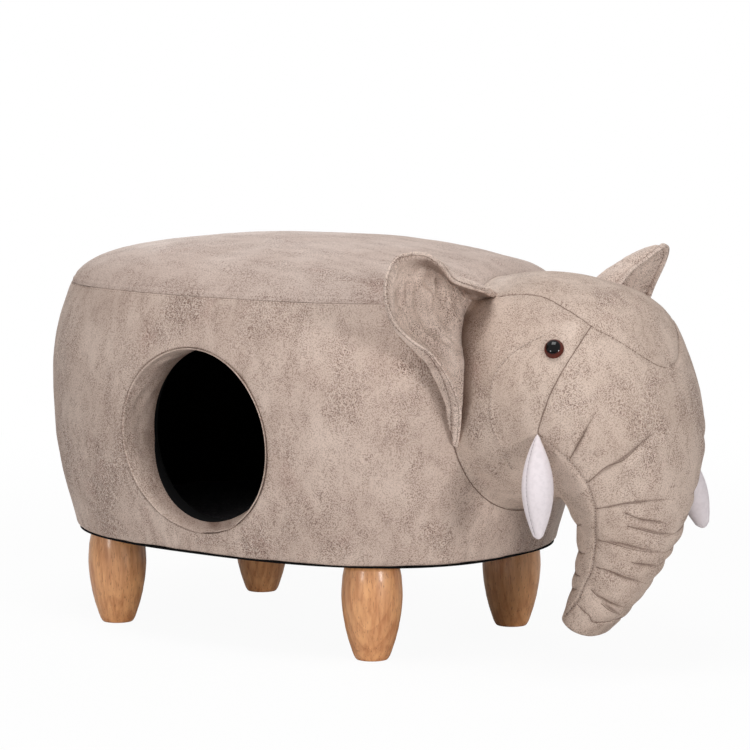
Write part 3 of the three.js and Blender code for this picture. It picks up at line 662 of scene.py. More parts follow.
def placeTunnel(u, v):
    # From the seam over a rolled lip and straight in
    angle, roll, straight = u * 2 * pi, unit(v / 0.2) * pi / 2, unit((v - 0.2) / 0.8)
    radius = entry.radius - (entry.radius - entry.throat) * sin(roll)
    x, z = entryRing(radius - (entry.throat - entry.endRadius) * straight, angle, straight)
    mouth, end = bodySide(*entryRing(entry.radius, angle)), tunnelEnd(angle)
    depth = entry.lip * (1 - cos(roll)) + straight * (end - entry.lip)
    return xyz(x, mouth + (end - halfWidth - mouth) * depth / end, z)


entryLining = grid("entryLining", 300, 34, placeTunnel)
points, outs = readSkin(entryLining)
x, y, z = points.T
angle, depthIn = np.arctan2(z - entry.height, x - entry.forward), y + halfWidth
inward = unitRows(xyz(entry.forward - x, 0, entry.height - z))
gather = lumps(xyz(angle * 70 + depthIn * 0.9, depthIn * 0.6, angle * 8), 22, 8)
lift = 1.5 * gather * smooth(4, 20, depthIn) + 0.7 * lumps(points, 12, 9) * smooth(6, 20, depthIn)
fromEnd = tunnelEnd(angle) - depthIn
write(entryLining, points, inward, lift * smooth(0, 9, fromEnd) + 0.2)
# painted shade in the valleys of the gathers, and darker towards the tunnel's far end
paintedShade = 0.5 * smooth(0.1, 1, -gather) * smooth(2, 20, depthIn) + 0.55 * smooth(26, 0, fromEnd)
keep(entryLining, "paintedShade", paintedShade)
finish(entryLining, hideSide, ["entry_lining"])
entryLining.modifiers.new("thickness", "SOLIDIFY").thickness = 1.4 * mm
print("entry lining: shaped")

# Stitching along the seat seam and round the entry
seatLine = onOval(linspace(0, 1, 900), body.seamInset - 0.2, body.seam - 1.6)
threadAndShadowCords("seatThread", stitches(*onSurface(sideCover, seatLine), 3.3, 1.5, 0.18, 0.05))
ringX, ringZ = entryRing(entry.radius + 1.2, linspace(0, 2 * pi, 260))
ringLine = xyz(ringX, bodySide(ringX, ringZ), ringZ)
threadAndShadowCords("ringThread", stitches(*onSurface(sideCover, ringLine), 2.8, 1.8, 0.2, 0))
print("seam stitching: laid")

# Cabin: a black cloth bag, seen through the entry, with a fleece mat on its floor
cabin = Sizes(
    inset=49.3, low=107.3, high=316.7, matLow=109.1, matThick=8, matInset=57.6, matFlat=0.86,
    bagUp=(0, 0.05, 0.1, 0.14, 0.86, 0.9, 0.95, 1),
)


def placeBag(u, v):
    low, high = cabin.low, cabin.high
    share, z = readRows(v, cabin.bagUp, [
        (0.02, low), (0.5, low), (0.97, low + 0.5), (1, low + 4),
        (1, high - 4), (0.97, high - 0.5), (0.5, high), (0.02, high)])
    x, y, z = onOval(u, cabin.inset, z, share).T
    newX, newZ, part, inside = roundEntry(x, z, entry.endRadius + 1.5)
    inside &= (y < 0) & (share > 0.99)
    shift = 1 - unit(part)
    x = where(inside, newX + entry.endForward * shift, x)
    z = where(inside, newZ + entry.endRise * shift, z)
    wall = -(halfWidth - cabin.inset) * ovalOther(x / (halfLength - cabin.inset))
    drawn = 1 - 0.004 * sin(u * 60) * sin(pi * v) ** 2 * (1 - 0.8 * inside)
    return xyz(x * drawn, where(inside, wall, y) * drawn, z)


def dropBag(u, v):
    up = (v - cabin.bagUp[3]) / (cabin.bagUp[4] - cabin.bagUp[3])
    x, y, z = onOval(u, cabin.inset, cabin.low + 4 + up * (cabin.high - cabin.low - 8)).T
    return (y < 0) & (toEntry(x, z)[2] < entry.inner - 2) & (up > 0) & (up < 1)


def placeCollar(u, v):  # the bag's mouth, turned out to meet the slanted end of the tunnel
    angle = u * 2 * pi
    end = tunnelEnd(angle) - 1
    x, z = entryRing(entry.endRadius + 0.6 + 0.9 * v, angle, 1)
    return xyz(x, end + (cabin.inset + 0.4 - end) * v - halfWidth, z)


cabinLining = grid("cabinLining", 300, 70, placeBag, dropBag)
remesh(cabinLining, other=grid("collar", 300, 8, placeCollar))
cabinLining.modifiers.new("thickness", "SOLIDIFY").thickness = 1.2 * mm
finish(cabinLining, blackCloth, ["cabin_lining"])


def placeMat(u, v):
    square, way = squareOval(u, v)
    flat, half = cabin.matFlat, cabin.matThick / 2
    edge = unit((square - flat) / (1 - flat)) * pi  # over the rounded edge, and a little way under
    share = where(edge > pi / 2, 1 - 0.06 * (1 - sin(edge)), 0.985 * unit(square / flat) + 0.015 * sin(edge))
    crown = 1.6 * (1 - unit(square / flat) ** 4)
    return onDisc(way, cabin.matInset, share, cabin.matLow + half + (half - 0.6) * cos(edge) + crown)


cabinMat = grid("cabinMat", 120, 100, placeMat)
remesh(cabinMat, fill=True)
points, outs = readSkin(cabinMat)
write(cabinMat, points, outs, 0.9 * lumps(points, 30, 31) * (outs[:, 2] > 0.3))
finish(cabinMat, matCloth, ["cabin_mat"])
print("cabin: lined")

# Dust cover: black cloth stapled under the body, its folded edge just showing below the hem
dust = Sizes(inset=24.9, top=92.2, low=90.6, columns=200, length=483.2, width=343.4, flat=0.94)


def placeDust(u, v):
    square, way = squareOval(u, v)
    fold = unit((square - dust.flat) / (1 - dust.flat)) * pi  # the turned edge
    share = unit(square / dust.flat) + 0.003 * sin(fold) - 0.02 * unit(fold / pi - 0.5)
    return onDisc(way, dust.inset, share, dust.low + (dust.top - dust.low) * (1 - cos(fold)) / 2)


dustCover = grid("dustCover", dust.columns, dust.columns, placeDust)
finish(dustCover, blackCloth, ["dust_cover"])
print("dust cover: stretched")

# Legs: turned, fullest above the middle, with a small eased foot
leg = Sizes(
    forward=159.4, aside=110.9, steps=72,
    years=8,  # millimetres of growth in a year
    profile=[  # radius and height, in turn
        0, 0.2, 12.5, 0.2, 14.6, 0.5, 15.6, 1.6, 17, 4, 18.5, 8, 19.8, 12, 20.8, 15, 22.1, 19, 23.1, 23, 24, 26.5,
        24.9, 30, 25.5, 34, 26.3, 38, 26.8, 41, 27.4, 45, 27.8, 49, 28.1, 52, 28.4, 56, 28.6, 60, 28.5, 64, 28.4,
        67, 28.1, 71, 27.8, 75, 27.5, 78.5, 26.8, 82, 26.1, 86, 25.2, 90, 24, 90.8, 0, 90.8],
)
legPlaces = [  # name, forward or back, aside, the way its growth rings run
    ("front_right", 1, -1, (0.6, -0.78, 0.16)), ("front_left", 1, 1, (0.95, 0.2, 0.12)),
    ("rear_right", -1, -1, (0.78, 0.6, 0.1)), ("rear_left", -1, 1, (0.7, 0.62, -0.2)),
]
for place, forward, aside, grown in legPlaces:
    middle = toFrame(array([forward * leg.forward, aside * leg.aside, 0]))
    shape = turned(np.reshape(leg.profile, (-1, 2)), leg.steps, *middle[:2])
    piece = addMesh("leg" + place.title().replace("_", ""), shape)
    keep(piece, "growth", (read(piece) - middle) @ array(grown) / (leg.years * mm))
    finish(piece, turnedWood, ["leg_" + place])
print("legs: turned")

# Head and trunk: one stuffed form between two rails, with its panels' seams, darts and folds
head = Sizes(
    reach=162, top=361, low=25, halfWidth=113.5, power=2.1, tipBulge=9,
    rows=520, columns=276, neckShare=0.01, tipShare=0.955, lean=0.16,
    worn=[
        (330, -100, 339, (36, 40, 16), 1), (300, -104, 300, (26, 30, 34), 0.5), (372, -100, 246, (28, 40, 28), 0.2),
        (406, -85, 246, (26, 40, 24), 0.3), (297, -105, 236, (20, 30, 44), 0.45), (425, -40, 215, (26, 34, 70), 0.5),
        (420, -30, 130, (30, 34, 40), 0.6), (385, -40, 80, (30, 34, 40), 0.5), (418, 40, 240, (30, 40, 60), 0.8),
        (340, 100, 300, (40, 30, 30), 0.8), (360, -20, 340, (50, 50, 20), 0.5)],
    # outer forward, outer height, inner forward, inner height, half width, all as shares
    rails=[
        (-0.4, 0.964, -0.167, 0.307, 0.894), (0.006, 1, -0.062, 0.333, 0.97),
        (0.395, 0.985, 0.068, 0.354, 1), (0.685, 0.9315, 0.179, 0.372, 0.962),
        (0.899, 0.766, 0.265, 0.381, 0.865), (1.007, 0.592, 0.333, 0.375, 0.745),
        (1.004, 0.443, 0.352, 0.336, 0.597), (0.946, 0.314, 0.349, 0.293, 0.447),
        (0.856, 0.225, 0.331, 0.229, 0.362), (0.735, 0.136, 0.3, 0.174, 0.306),
        (0.62, 0.074, 0.276, 0.119, 0.287), (0.481, 0.0115, 0.253, 0.071, 0.29)],
)


def headPoint(u, angle):  # u runs from the neck to the tip, and the angle round the section
    rows = spline(head.rails, u)
    outerX, innerX = (halfLength + rows[:, k] * head.reach for k in (0, 2))
    outerZ, innerZ = (head.low + rows[:, k] * (head.top - head.low) for k in (1, 3))
    up, side = (signed(f(angle), 2 / head.power) for f in (sin, cos))
    middleX, middleZ = (outerX + innerX) / 2, (outerZ + innerZ) / 2
    return xyz(middleX + (outerX - middleX) * up, rows[:, 4] * head.halfWidth * side,
               middleZ + (outerZ - middleZ) * up)


def placeHead(u, v):
    share = unit((v - head.neckShare) / (head.tipShare - head.neckShare))
    share += head.lean * sin(pi * share)  # more rows along the trunk than over the head
    points = headPoint(share, u * 2 * pi)
    last, before = ((headPoint(at, pi / 2) + headPoint(at, -pi / 2)) / 2 for at in (1, 0.92))
    over = (unit((v - head.tipShare) / (1 - head.tipShare)) * pi / 2)[:, None]
    onward = unitRows(last - before) * head.tipBulge * sin(over)
    points = where(over > 0, last + (points - last) * cos(over) ** 0.62 + onward, points)
    points = where((v < 0.001)[:, None], headPoint(0, 0)[0] * (1, 0, 1), points)
    skin = bodyFront(points) - 1.5
    points[:, 0] = where((points[:, 0] < skin) & (points[:, 0] > 150), skin, points[:, 0])
    return points


def headLine(rows, steps=40):  # a smooth line on the head's right side, through pairs of u and degrees
    at = spline(np.reshape(rows, (-1, 2)), linspace(0, 1, steps))
    return headPoint(at[:, 0], np.radians(at[:, 1]))


def mirrored(line):
    return line * (1, -1, 1)


tongue = [.06, 126, .089, 124.5, .128, 121.8, .167, 121, .222, 124.5, .275, 124.9, .31, 117.8,
          .341, 107.5, .359, 99, .3655, 92.7, .366, 90]
cheek = [.275, 124.9, .285, 140.1, .2915, 156.5, .296, 169.2, .303, 180, .308, 186.1, .323, 186.2]
trunkSide = [.323, 186.2, .358, 184.9, .408, 182.1, .4775, 178.8, .5195, 177.9, .553, 178.9,
             .6087, 183.4, .6887, 185.6, .7567, 185.4, .8214, 189.9, .8895, 192.5, .9887, 212]
arc = [.219, 142.7, .177, 156.1, .157, 169.9, .173, 187.5, .204, 200.7, .24, 216.2]
tip = [.9016, 189.5, .927, 161.2, .9501, 138.4, .9488, 115.1, .9405, 98.6, .94, 90]
seams = [(tongue, 0.8, 0.5), (cheek, 0.7, 0.45), (trunkSide, 0.8, 0.5), (arc, -0.6, -0.2), (tip, 0.7, 0.5)]
darts = [  # depth, then the places
    (2, [.4066, 181.8, .3961, 170.4, .3868, 161.4, .3738, 148.9]),
    (2.7, [.4767, 177.9, .471, 160.6, .4659, 143.2, .4526, 125.6, .4385, 106.2]),
    (2, [.5496, 177.8, .5556, 154.1, .5604, 128.5, .5656, 102.1]),
    (1.4, [.5759, 149.2, .5949, 136, .6056, 118, .6162, 97.7]),
    (2.2, [.6093, 148.4, .6237, 127.2, .6358, 107.7, .6437, 81.5]),
    (3.2, [.6474, 182.2, .6576, 159.3, .6758, 131.8, .6879, 107.9, .696, 84.1]),
    (2.2, [.7185, 135.8, .7298, 117.2, .7407, 83.2]),
    (3, [.7427, 180.2, .754, 160.4, .7709, 134.5, .7897, 88.6]),
    (2.8, [.8251, 176.3, .8528, 153.4, .8718, 127.8, .8841, 91.3]),
    (2.2, [.8661, 150.3, .8947, 123, .9175, 92.8]),
    (1.6, [.5912, 205, .5925, 225, .59, 262]),
    (1.9, [.7, 203, .7035, 225, .705, 262]),
    (1.3, [.79, 205, .795, 230, .797, 262]),
    (1.7, [.8494, 205, .8728, 233, .876, 262]),
]

# Ears: two padded skins with a turned and topstitched rim, cupped and folded over at the top
ear = Sizes(
    foot=(247.56, 98.97, 201.4), size=(42, 123, 188), thickness=7,
    edge=3.4, cup=15, inset=4, first=0.004, last=0.975, drop=15, spread=5, tuckIn=8,
    rows=260, columns=170, stitch=5.2, roll=1.5, rollAt=10, curl=5, wrinkle=2.4,
    table=[  # the root's forward, aside, up, then the rim's, as shares
        (0, 0, 0, 0.05, 0.01, 0.01), (0.11, 0.03, 0.09, 0.32, 0.1, 0.11), (0.23, 0.06, 0.18, 0.52, 0.18, 0.22),
        (0.27, 0.07, 0.26, 0.58, 0.25, 0.29), (0.27, 0.06, 0.32, 0.49, 0.34, 0.4),
        (0.25, 0.05, 0.37, 0.39, 0.49, 0.51), (0.2, 0.03, 0.43, 0.3, 0.68, 0.58),
        (0.09, 0, 0.48, 0.25, 0.86, 0.67), (-0.01, -0.02, 0.52, 0.27, 0.97, 0.78),
        (-0.1, -0.06, 0.56, 0.39, 1.02, 0.89), (-0.18, -0.11, 0.6, 0.51, 0.96, 0.98),
        (-0.25, -0.17, 0.65, 0.65, 0.83, 1), (-0.3, -0.23, 0.69, 0.82, 0.71, 0.985),
        (-0.29, -0.28, 0.73, 0.92, 0.59, 0.93), (-0.06, -0.31, 0.74, 0.89, 0.46, 0.86),
        (0.15, -0.31, 0.75, 0.85, 0.27, 0.82), (0.35, -0.3, 0.75, 0.68, -0.01, 0.78),
        (0.45, -0.31, 0.74, 0.5, -0.26, 0.75)],
    slip=[(0, 0, 0)] * 7 + [  # how far the left ear's rim lies from the right one's, in millimetres
        (-0.8, -0.6, 0), (-1.5, -1.2, 0), (-2.7, -2.1, 0), (-0.8, -0.6, -2.4), (-0.4, -0.3, -1.4), (1.5, 1.2, 0.1),
        (-0.5, -0.4, 4.8), (-0.8, -0.6, 9), (1.1, 0.9, 6.8), (11.4, 8.9, -0.6), (18.9, 14.8, -3)],
)


def warpLeft(points):
    out, up = (maximum(points[:, k] - ear.foot[k], 0) / ear.size[k] for k in (1, 2))
    moved = points.copy()
    moved[:, 2] -= ear.drop * (out + up) / 2
    moved[:, 1] += out * (ear.spread - ear.tuckIn * smooth(0.95, 0.72, up))
    return moved


headCover = grid("headCover", head.columns, head.rows, placeHead)
points, outs = readSkin(headCover)
x, z = points[:, 0], points[:, 2]
lift = 0.7 * lumps(points, 60, 11) + 0.25 * lumps(points, 18, 12)
# painted shade in the seams' grooves, in the darts' valleys and in the gap behind each ear's root
paintedShade = np.zeros(len(points))
seamRuns, dartRuns = [], []
for rows, depth, puff in seams:
    for line in (headLine(rows, 70), mirrored(headLine(rows, 70))):
        step, dark = seamLift(points, line, depth, puff)
        lift += step
        paintedShade = maximum(paintedShade, 0.32 * dark * (depth > 0))
        seamRuns.append((rows, line))
for depth, rows in darts:
    for line in (headLine(rows), mirrored(headLine(rows))):
        step, dark = foldLift(points, line, depth)
        lift += step
        paintedShade = maximum(paintedShade, 0.75 * dark)
        dartRuns.append(line)
rootLine = array(ear.table)[:13, :3] * ear.size + ear.foot
for line in (mirrored(rootLine), warpLeft(rootLine)):
    gap, along, length = nearLine(points, line, 30)
    paintedShade = maximum(paintedShade, bell(gap, 13, 1.8) * smooth(6, 50, along) * smooth(0, 14, length - along))
trunkShare = unit((x - 380) / 60) * 0.2 + unit((300 - z) / 200) * 0.8
lift -= 0.9 + 0.6 * smooth(0.3, 0.45, trunkShare * smooth(halfLength + 30, halfLength + 70, x))
lift = where(x < bodyFront(points) + 0.5, 0, lift)
write(headCover, points, outs, lift)
keep(headCover, "paintedShade", paintedShade)
keep(headCover, "worn", wornAt(points, head.worn))
finish(headCover, hideHead, ["head", "trunk"])
print("head and trunk: shaped", len(headCover.data.polygons))

# Dark cords along the seams, partly seam line and partly painted shadow in their grooves; dark cords in the darts'
# valleys, painted shadow; pale stitches along the trunk's side seam and the arc
runs, pale = [], []
for rows, line in seamRuns:
    places, outs = onSurface(headCover, line)
    if rows is arc:
        pale += stitches(places, outs, 4, 3, 0.34, 0.22)
        runs.append((places, outs, 0.2, 0.02))
        continue
    if rows is trunkSide:
        pale += stitches(places, outs, 3.2, 2.2, 0.3, 0.3)
    fade = (0.45, 0.75) if line[0, 1] > 0 else (0.88, 1)
    thin = 0.95 * smooth(*fade, linspace(0, 1, len(places))) * (rows is tongue)
    runs.append((places, outs, 0.24 * (1 - thin), 0.12))
for line in dartRuns:
    # a dark cord in each dart's valley: painted shadow, thinner towards the dart's end
    runs.append((*onSurface(headCover, line), 0.05 + 0.28 * (1 - linspace(0, 1, len(line))) ** 0.7, 0))
threadAndShadowCords("headSeamLinesAndShadows", runs)
threadAndShadowCords("headStitches", pale, paleThread)
print("head seams: sewn")

# Neck seam: the head's edge, hand-sewn to the body, drawn as a dark cord that is partly seam line and partly painted
# shadow in the join
neckLine = []
for angle in linspace(0, 2 * pi, 260):
    line = headPoint(linspace(0.02, 0.3, 400), angle)
    neckLine.append(line[np.argmax(line[:, 0] > bodyFront(line))])
neckLine = array(neckLine)
outs = onSurface(sideCover, neckLine)[1]
runs = []
for side in (1, -1):
    part = where((neckLine[:, 2] < 300) & (neckLine[:, 1] * side > -0.1))[0]
    part = part[np.argsort(-neckLine[part, 2])]
    runs.append((toFrame(neckLine[part]), outs[part], 0.4, 0.1))
threadAndShadowCords("neckSeamAndShadow", runs)
print("neck: sewn")


def earSheet(along, across, side):
    left = side == "Left"  # its top lies lower and is folded straighter
    rows = spline(ear.table, along)
    root, rim = rows[:, :3] * ear.size + ear.foot, rows[:, 3:] * ear.size + ear.foot
    if left:
        rim = rim + spline(ear.slip, along)
    inside = unit(across)
    cup = ear.cup * sin(pi * inside ** (2.3 if left else 1.3)) * sin(pi * unit(along)) ** 0.6
    rise = -12 * bell(across - 0.37, 0.28) / maximum(cup, 0.5) if left else 0.5
    folded = smooth(0.5, 0.8, along)
    span = lengths(rim - root)
    # the skin rolls forward off the head before it turns out, and curls up behind its lower rim
    roll = bell(across * span - ear.rollAt, 8) * smooth(0.03, 0.16, along) * smooth(0.68, 0.56, along)
    curl = sin(pi * inside) * smooth(0.02, 0.12, along) * smooth(0.38, 0.16, along)
    point = root + (rim - root) * across[:, None]
    point[:, 0] += ear.roll * roll - ear.curl * curl - cup * (1 - 0.4 * folded)
    point[:, 2] += cup * rise * folded
    return point, span


def placeEar(u, v, side):
    # Round the section: the front face from root to rim, over the rim, and the back face to the root
    along = ear.first + (ear.last - ear.first) * v
    across = 1 - (1 - where(u < 0.5, u * 2, 2 - u * 2)) ** 1.25
    span = earSheet(along, across * 0, side)[1]
    sunk = ear.inset / maximum(span, 12)
    across = (1 + sunk) * across - sunk
    step = 0.006
    a = clip(along, step, 1 - step)
    point = earSheet(along, across, side)[0]
    slope = earSheet(a + step, across, side)[0] - earSheet(a - step, across, side)[0]
    reach = earSheet(a, across + step, side)[0] - earSheet(a, across - step, side)[0]
    out = unitRows(cross(slope, reach))
    fromRoot, fromRim = across * span, (1 - across) * span
    fromStitch, ends = fromRim - ear.stitch, minimum(v, 1 - v)
    half = (ear.thickness + (ear.edge - ear.thickness) * unit(across) ** 2) / 2
    half = half + 1.4 * smooth(0, 12, fromStitch) * smooth(-2, 14, fromRoot)
    half = half * (1 - 0.35 * smooth(0.84, 1, along))
    half = half * (1 - 0.62 * bell(fromStitch, 1.4) - 0.25 * bell(fromRim - 1.3, 0.7))
    half = half * sqrt(unit(fromRim / 1.8)) * smooth(0, 0.02, ends)
    front = u >= 0.5
    face = where(front, -1, 1)
    # slanting wrinkles, drawn from the fold of the top towards the lower rim
    warped = xyz(along * 300 - fromRoot * 0.9, fromRoot * 0.3 + along * 90, 0) + 7 * lumps(point, 30, 23)[:, None]
    folds = 1 - 2 * abs(lumps(warped, 20, 21, 1))
    fine = 1 - 2 * abs(lumps(warped * (1, 0.6, 1), 8, 27, 1))
    crumple = ear.wrinkle * (folds - 0.6) + 0.9 * (fine - 0.6) + 1.2 * lumps(point, 26, 24)
    crumple *= 1 - 0.75 * smooth(0.5, 0.62, along) * (across > 0.75)
    calm = smooth(0, 12, fromStitch) * smooth(0, 0.08, ends)
    calm *= smooth(6, 22, fromRoot) * (1 - 0.7 * smooth(0.78, 0.86, along))
    wave = sin(v * 430 + 2.5 * sin(v * 60))
    move = face * half - where(front, crumple, 0.25 * crumple) * calm * (half / 4)
    move += face * 0.75 * wave * bell(fromStitch - 1.5, 4.2) * (half / 3)
    # painted shade in the fold of the top, in the wrinkles, in the puckers by the stitching, along the stitching and
    # at the root
    deep = 24 + 44 * smooth(0.66, 0.84, along)
    under = smooth(5, 15, fromRim) * smooth(deep + 32, deep, fromRim)
    under *= smooth(0.56, 0.7, along) * smooth(0.985, 0.93, along)
    ticks = unit(wave) ** 2 * bell(fromStitch - 4.5, 3.6) * smooth(0.93, 0.86, along)
    lines = calm * (smooth(0.5, -0.25, folds) + 0.7 * smooth(0.45, -0.25, fine))
    shade = np.max([(0.72 if side == "Right" else 0.15) * front * under, 0.15 * front * lines, 0.4 * front * ticks,
                    0.35 * bell(fromStitch, 1), 0.2 * bell(fromRoot + 1, 3)], axis=0)
    return point + out * move[:, None], shade


def warpedEar(u, v, side, warp):
    points, shade = placeEar(u, v, side)
    return warp(points), shade


for side, warp in (("Left", warpLeft), ("Right", mirrored)):
    piece = grid("ear" + side, ear.columns, ear.rows, lambda u, v: warpedEar(u, v, side, warp))
    remesh(piece, fill=True)
    keep(piece, "worn", unit(0.25 + 0.6 * lumps(toMiddle(read(piece)), 30, 45)))
    finish(piece, hideEar, ["ear_" + side.lower()])
    runs = []
    at = linspace(ear.first + 0.02, ear.last - 0.02, 240)
    # topstitching, and a dark cord along the rim's edge seam that is painted shadow in its groove
    for inset, stitched in ((ear.stitch, True), (0.8, False)):
        across = 1 - inset / maximum(earSheet(at, np.ones(len(at)), side)[1], 14)
        line = warp(earSheet(at, across, side)[0])
        ahead = warp(earSheet(at, across - 0.02, side)[0]) - line
        normal = unitRows(cross(np.gradient(line, axis=0), ahead))
        normal *= np.sign(normal @ (0.6, -0.75 if side == "Right" else 0.75, 0.1))[:, None]
        places, outs = onSurface(piece, line + normal * 3)
        runs += stitches(places, outs, 4.4, 3, 0.3, 0.05) if stitched else [(places, outs, 0.18, 0)]
    threadAndShadowCords("earThreadAndShadow" + side, runs)
print("ears: sewn")

# Tusks: white stuffed spindles, each with one seam down its front
tusk = Sizes(
    length=95, width=28.6, root=0.8, rows=110, columns=72, seam=99,
    # the root's share along the head and its degrees round it, the aim, the bow, the tip's width, the belly's place
    Left=(0.377, -6.5, (0.19, 0.255, -0.95), (0, 0, 0), 9, 1.22),
    Right=(0.308, 186.5, (0.185, -0.235, -0.955), (3.5, -5.2, 0), 6, 1.04),
)
for side in ("Left", "Right"):
    share, degrees, aim, bow, tip, belly = tusk[side]
    root = headPoint(share, math.radians(degrees))[0]
    aim = array(aim) / np.linalg.norm(aim)
    away = unitRows(array([[-aim[2], 0, aim[0]]]))[0]
    other = cross(aim, away)
    seamAngle = math.radians(tusk.seam if side == "Right" else -tusk.seam)

    def placeTusk(u, v):
        ends = tusk.root + (tip - tusk.root) * v
        radius = (ends + (tusk.width - ends) * sin(pi * unit(v) ** belly) ** 0.92) / 2
        radius = radius * sqrt(unit(minimum(v / 0.02, (1 - v) * 2 * tusk.length / tip)))
        angle = u * 2 * pi
        seam = abs((angle - seamAngle + pi) % (2 * pi) - pi) * radius
        radius = radius - 0.5 * bell(seam, 1.3) + 0.3 * bell(seam - 4.5, 3)
        radius = radius + 0.08 * sin(v * 150) * bell(seam, 4) * sin(pi * v)
        radius = maximum(radius, 0) * (minimum(v, 1 - v) > 1e-6)
        middle = root + outer(tusk.length * v, aim) + outer(sin(pi * v), bow)
        return middle + outer(radius * cos(angle), away) + outer(radius * sin(angle), other)

    piece = grid("tusk" + side, tusk.columns, tusk.rows, placeTusk)
    finish(piece, tuskFinish, ["tusk_" + side.lower()])
    places, outs = onSurface(piece, placeTusk(seamAngle / (2 * pi) % 1, linspace(0.06, 0.97, 60)))
    # a grey cord along the seam, painted shadow in its groove, with stitches over it
    runs = [(places, outs, 0.2, 0)] + stitches(places, outs, 3.6, 2.4, 0.28, 0.1)
    threadAndShadowCords("tuskThreadAndShadow" + side, runs, tuskThreadAndShadow)
print("tusks: sewn")

# Tail: a padded strap sewn down the back, and a tuft of cut strips under it
tail = Sizes(
    top=286.25, low=181.25, width=12, thickness=3.6, tuftLength=34.2, tuftWidth=20.4, tuftDepth=10.4, strips=13
)


def placeTail(u, v):
    angle = u * 2 * pi
    height = tail.top + 0.2 - (tail.top - tail.low + 0.4) * v
    ends = sqrt(unit(minimum(v, 1 - v) / 0.012))
    aside = tail.width / 2 * signed(cos(angle), 0.5) * ends
    swell = 1 - 0.35 * bell(abs(aside) - 4.2, 0.8)
    out = tail.thickness / 2 * (1 + signed(sin(angle), 0.6) * swell * ends)
    return xyz(-(halfSizes(height)[0] + 0.1 + out), aside, height)


def placeTuft(u, v):
    angle = u * 2 * pi
    share = interp(v, [0, 0.06, 0.2, 0.42, 0.65, 0.9, 0.985, 1], [0, 0.58, 0.84, 1, 0.95, 0.66, 0.4, 0])
    strips = cos(angle * tail.strips)
    cut = share * (1 + 0.09 * strips * smooth(0.1, 0.35, v) * smooth(1, 0.97, v))
    height = tail.low - tail.tuftLength * v - 1.5 * strips * smooth(0.6, 1, v) * share
    out = tail.tuftDepth / 2 * (1 + cut * sin(angle)) - smooth(0, 1, v)
    return xyz(-(halfSizes(tail.low)[0] + out), tail.tuftWidth / 2 * cut * cos(angle), height)


for name, columns, rows, place, replaced in (("tailStrap", 48, 90, placeTail, "tail"),
                                             ("tailTuft", 156, 60, placeTuft, "tail_tuft")):
    piece = grid(name, columns, rows, place)
    points, outs = readSkin(piece)
    write(piece, points, outs, 0.15 * lumps(points, 9, 51))
    finish(piece, hideSide, [replaced])
for name, aside in (("tailThreadLeft", 4.2), ("tailThreadRight", -4.2)):
    height = linspace(tail.top - 4, tail.low + 4, 60)
    places = toFrame(xyz(-(halfSizes(height)[0] + tail.thickness), aside, height))
    threadAndShadowCords(name, stitches(places, np.tile((-1, 0, 0), (len(places), 1)), 3.4, 2.3, 0.28, -0.2))
print("tail: sewn")

# Eyes: glossy domes on a thin rim, pressed a little into the skin
eye = Sizes(share=0.253, angle=32.6, radius=9, dome=6.5, steps=56, sunk=0.4)
eyeProfile = [(0, -1.2), (8.6, -1.2), (9, -0.5), (9, 0.3), (8.85, 0.9)]
eyeProfile += [(8.7 * math.cos(a), 0.9 + (eye.dome - 0.9) * math.sin(a))
               for a in (math.radians(d) for d in range(6, 90, 7))] + [(0, eye.dome)]
for side, degrees in (("Left", eye.angle), ("Right", 180 - eye.angle)):
    u, angle = eye.share, math.radians(degrees)
    place = headPoint(u, angle)[0]
    along = headPoint(u + 0.01, angle) - headPoint(u - 0.01, angle)
    turnOn = headPoint(u, angle + 0.01) - headPoint(u, angle - 0.01)
    out = unitRows(cross(along, turnOn))[0]
    if out @ (place - (halfLength, 0, 240)) < 0:
        out = -out
    bm = turned(eyeProfile, eye.steps)
    ring = [v.co.to_2d().length / (eye.radius * mm) for v in bm.verts]
    turn = Vector(out).to_track_quat("Z", "Y").to_matrix().to_4x4()
    spot = Vector(toFrame(place - eye.sunk * out))
    bmesh.ops.transform(bm, matrix=Matrix.Translation(spot) @ turn, verts=bm.verts)
    piece = addMesh("eye" + side, bm)
    keep(piece, "ring", ring)
    finish(piece, eyeFinish, ["eye_" + side.lower()])
print("eyes: set")

# The rest of the construction keeps its solids and gets its own finishes
plain = {"base_board": plywood, "top_board": plywood, "frame_post": plywood, "side_wall": hardboard,
         "entry_hoop": hardboard, "hanger_bolt": steelFinish, "tee_nut": steelFinish, "eye_washer": nylonFinish}
for name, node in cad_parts.items():
    for start, material in plain.items():
        if name.startswith(start):
            node.data.materials.clear()
            node.data.materials.append(material)
print("frame: finished")

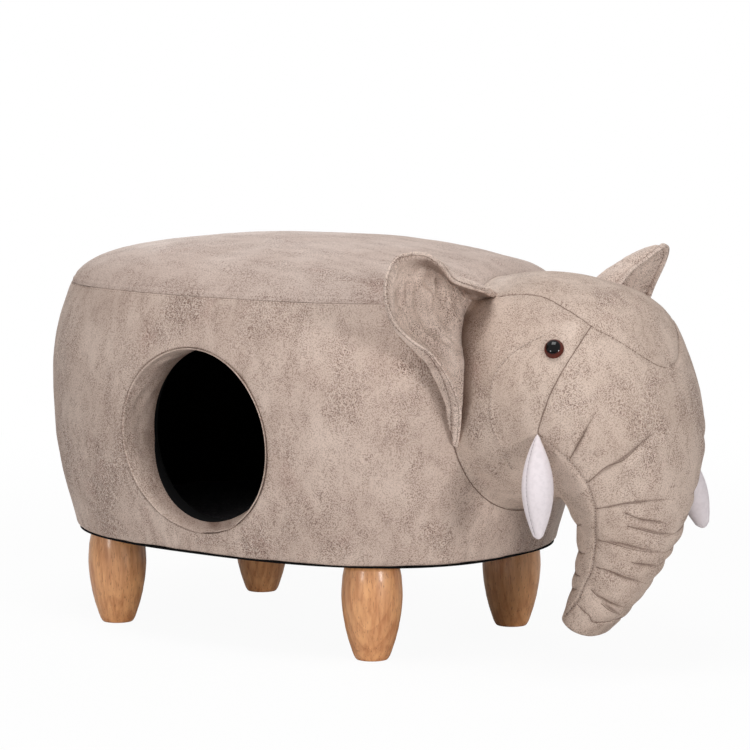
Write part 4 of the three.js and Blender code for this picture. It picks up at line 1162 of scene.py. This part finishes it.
# Studio: a white floor that keeps a faint shadow, soft boxes and an even sky
floorMesh = bmesh.new()
bmesh.ops.create_grid(floorMesh, x_segments=1, y_segments=1, size=40)
floor = addMesh("floor", floorMesh)
floorFinish = bpy.data.materials.new("floor")
floorFinish.use_nodes = True
floorFinish.node_tree.nodes.clear()
start = Wire(floorFinish.node_tree)
seen = start.node("LightPath")
diffuse = start.node("BsdfDiffuse", {"Color": tone((244, 244, 244))})
white = start.node("Emission", {"Color": (1, 1, 1, 1), "Strength": 1})
away = start.node("VectorMath", {0: start.node("TexCoord", out=3)}, {"operation": "LENGTH"}, 1)
shown = start.node("MixShader", {0: seen * (0.95 + 0.05 * away.ramp(0.5, 1.6)), 1: diffuse, 2: white})
start.node("OutputMaterial", {"Surface": shown})
floor.data.materials.append(floorFinish)

world = bpy.data.worlds.new("studio")
bpy.context.scene.world = world
world.use_nodes = True
world.node_tree.nodes.clear()
start = Wire(world.node_tree)
direct, glossy, clear = (start.node("LightPath", out=kind) for kind in (
    "Is Camera Ray", "Is Glossy Ray", "Is Transmission Ray"))
plainSky = direct.maths("MAXIMUM", direct, glossy.maths("MAXIMUM", glossy, clear))
sky, backdrop = (start.node("Background", {"Color": (1, 1, 1, 1), "Strength": power}) for power in (0.22, 1))
start.node("OutputWorld", {"Surface": start.node("MixShader", {0: plainSky, 1: sky, 2: backdrop})})

lamps = {  # name: place, size, power
    "left": ((0.05, -2.25, 0.5), 0.4, 9),
    "right": ((2.1, -0.75, 0.46), 0.4, 15.5),
    "top": ((0.2, -0.6, 2.1), 0.9, 24),
    "back": ((-1.9, 1.6, 1.3), 1.2, 9),
}
for name, (place, size, energy) in lamps.items():
    data = bpy.data.lights.new(name, "AREA")
    data.shape, data.size, data.energy = "SQUARE", size, energy
    lamp = addObject(name, data)
    lamp.location = place
    lamp.rotation_euler = (Vector((0, 0, 0.2)) - Vector(place)).to_track_quat("-Z", "Y").to_euler()
bpy.context.scene.view_settings.view_transform = "Standard"
print("studio: lit")
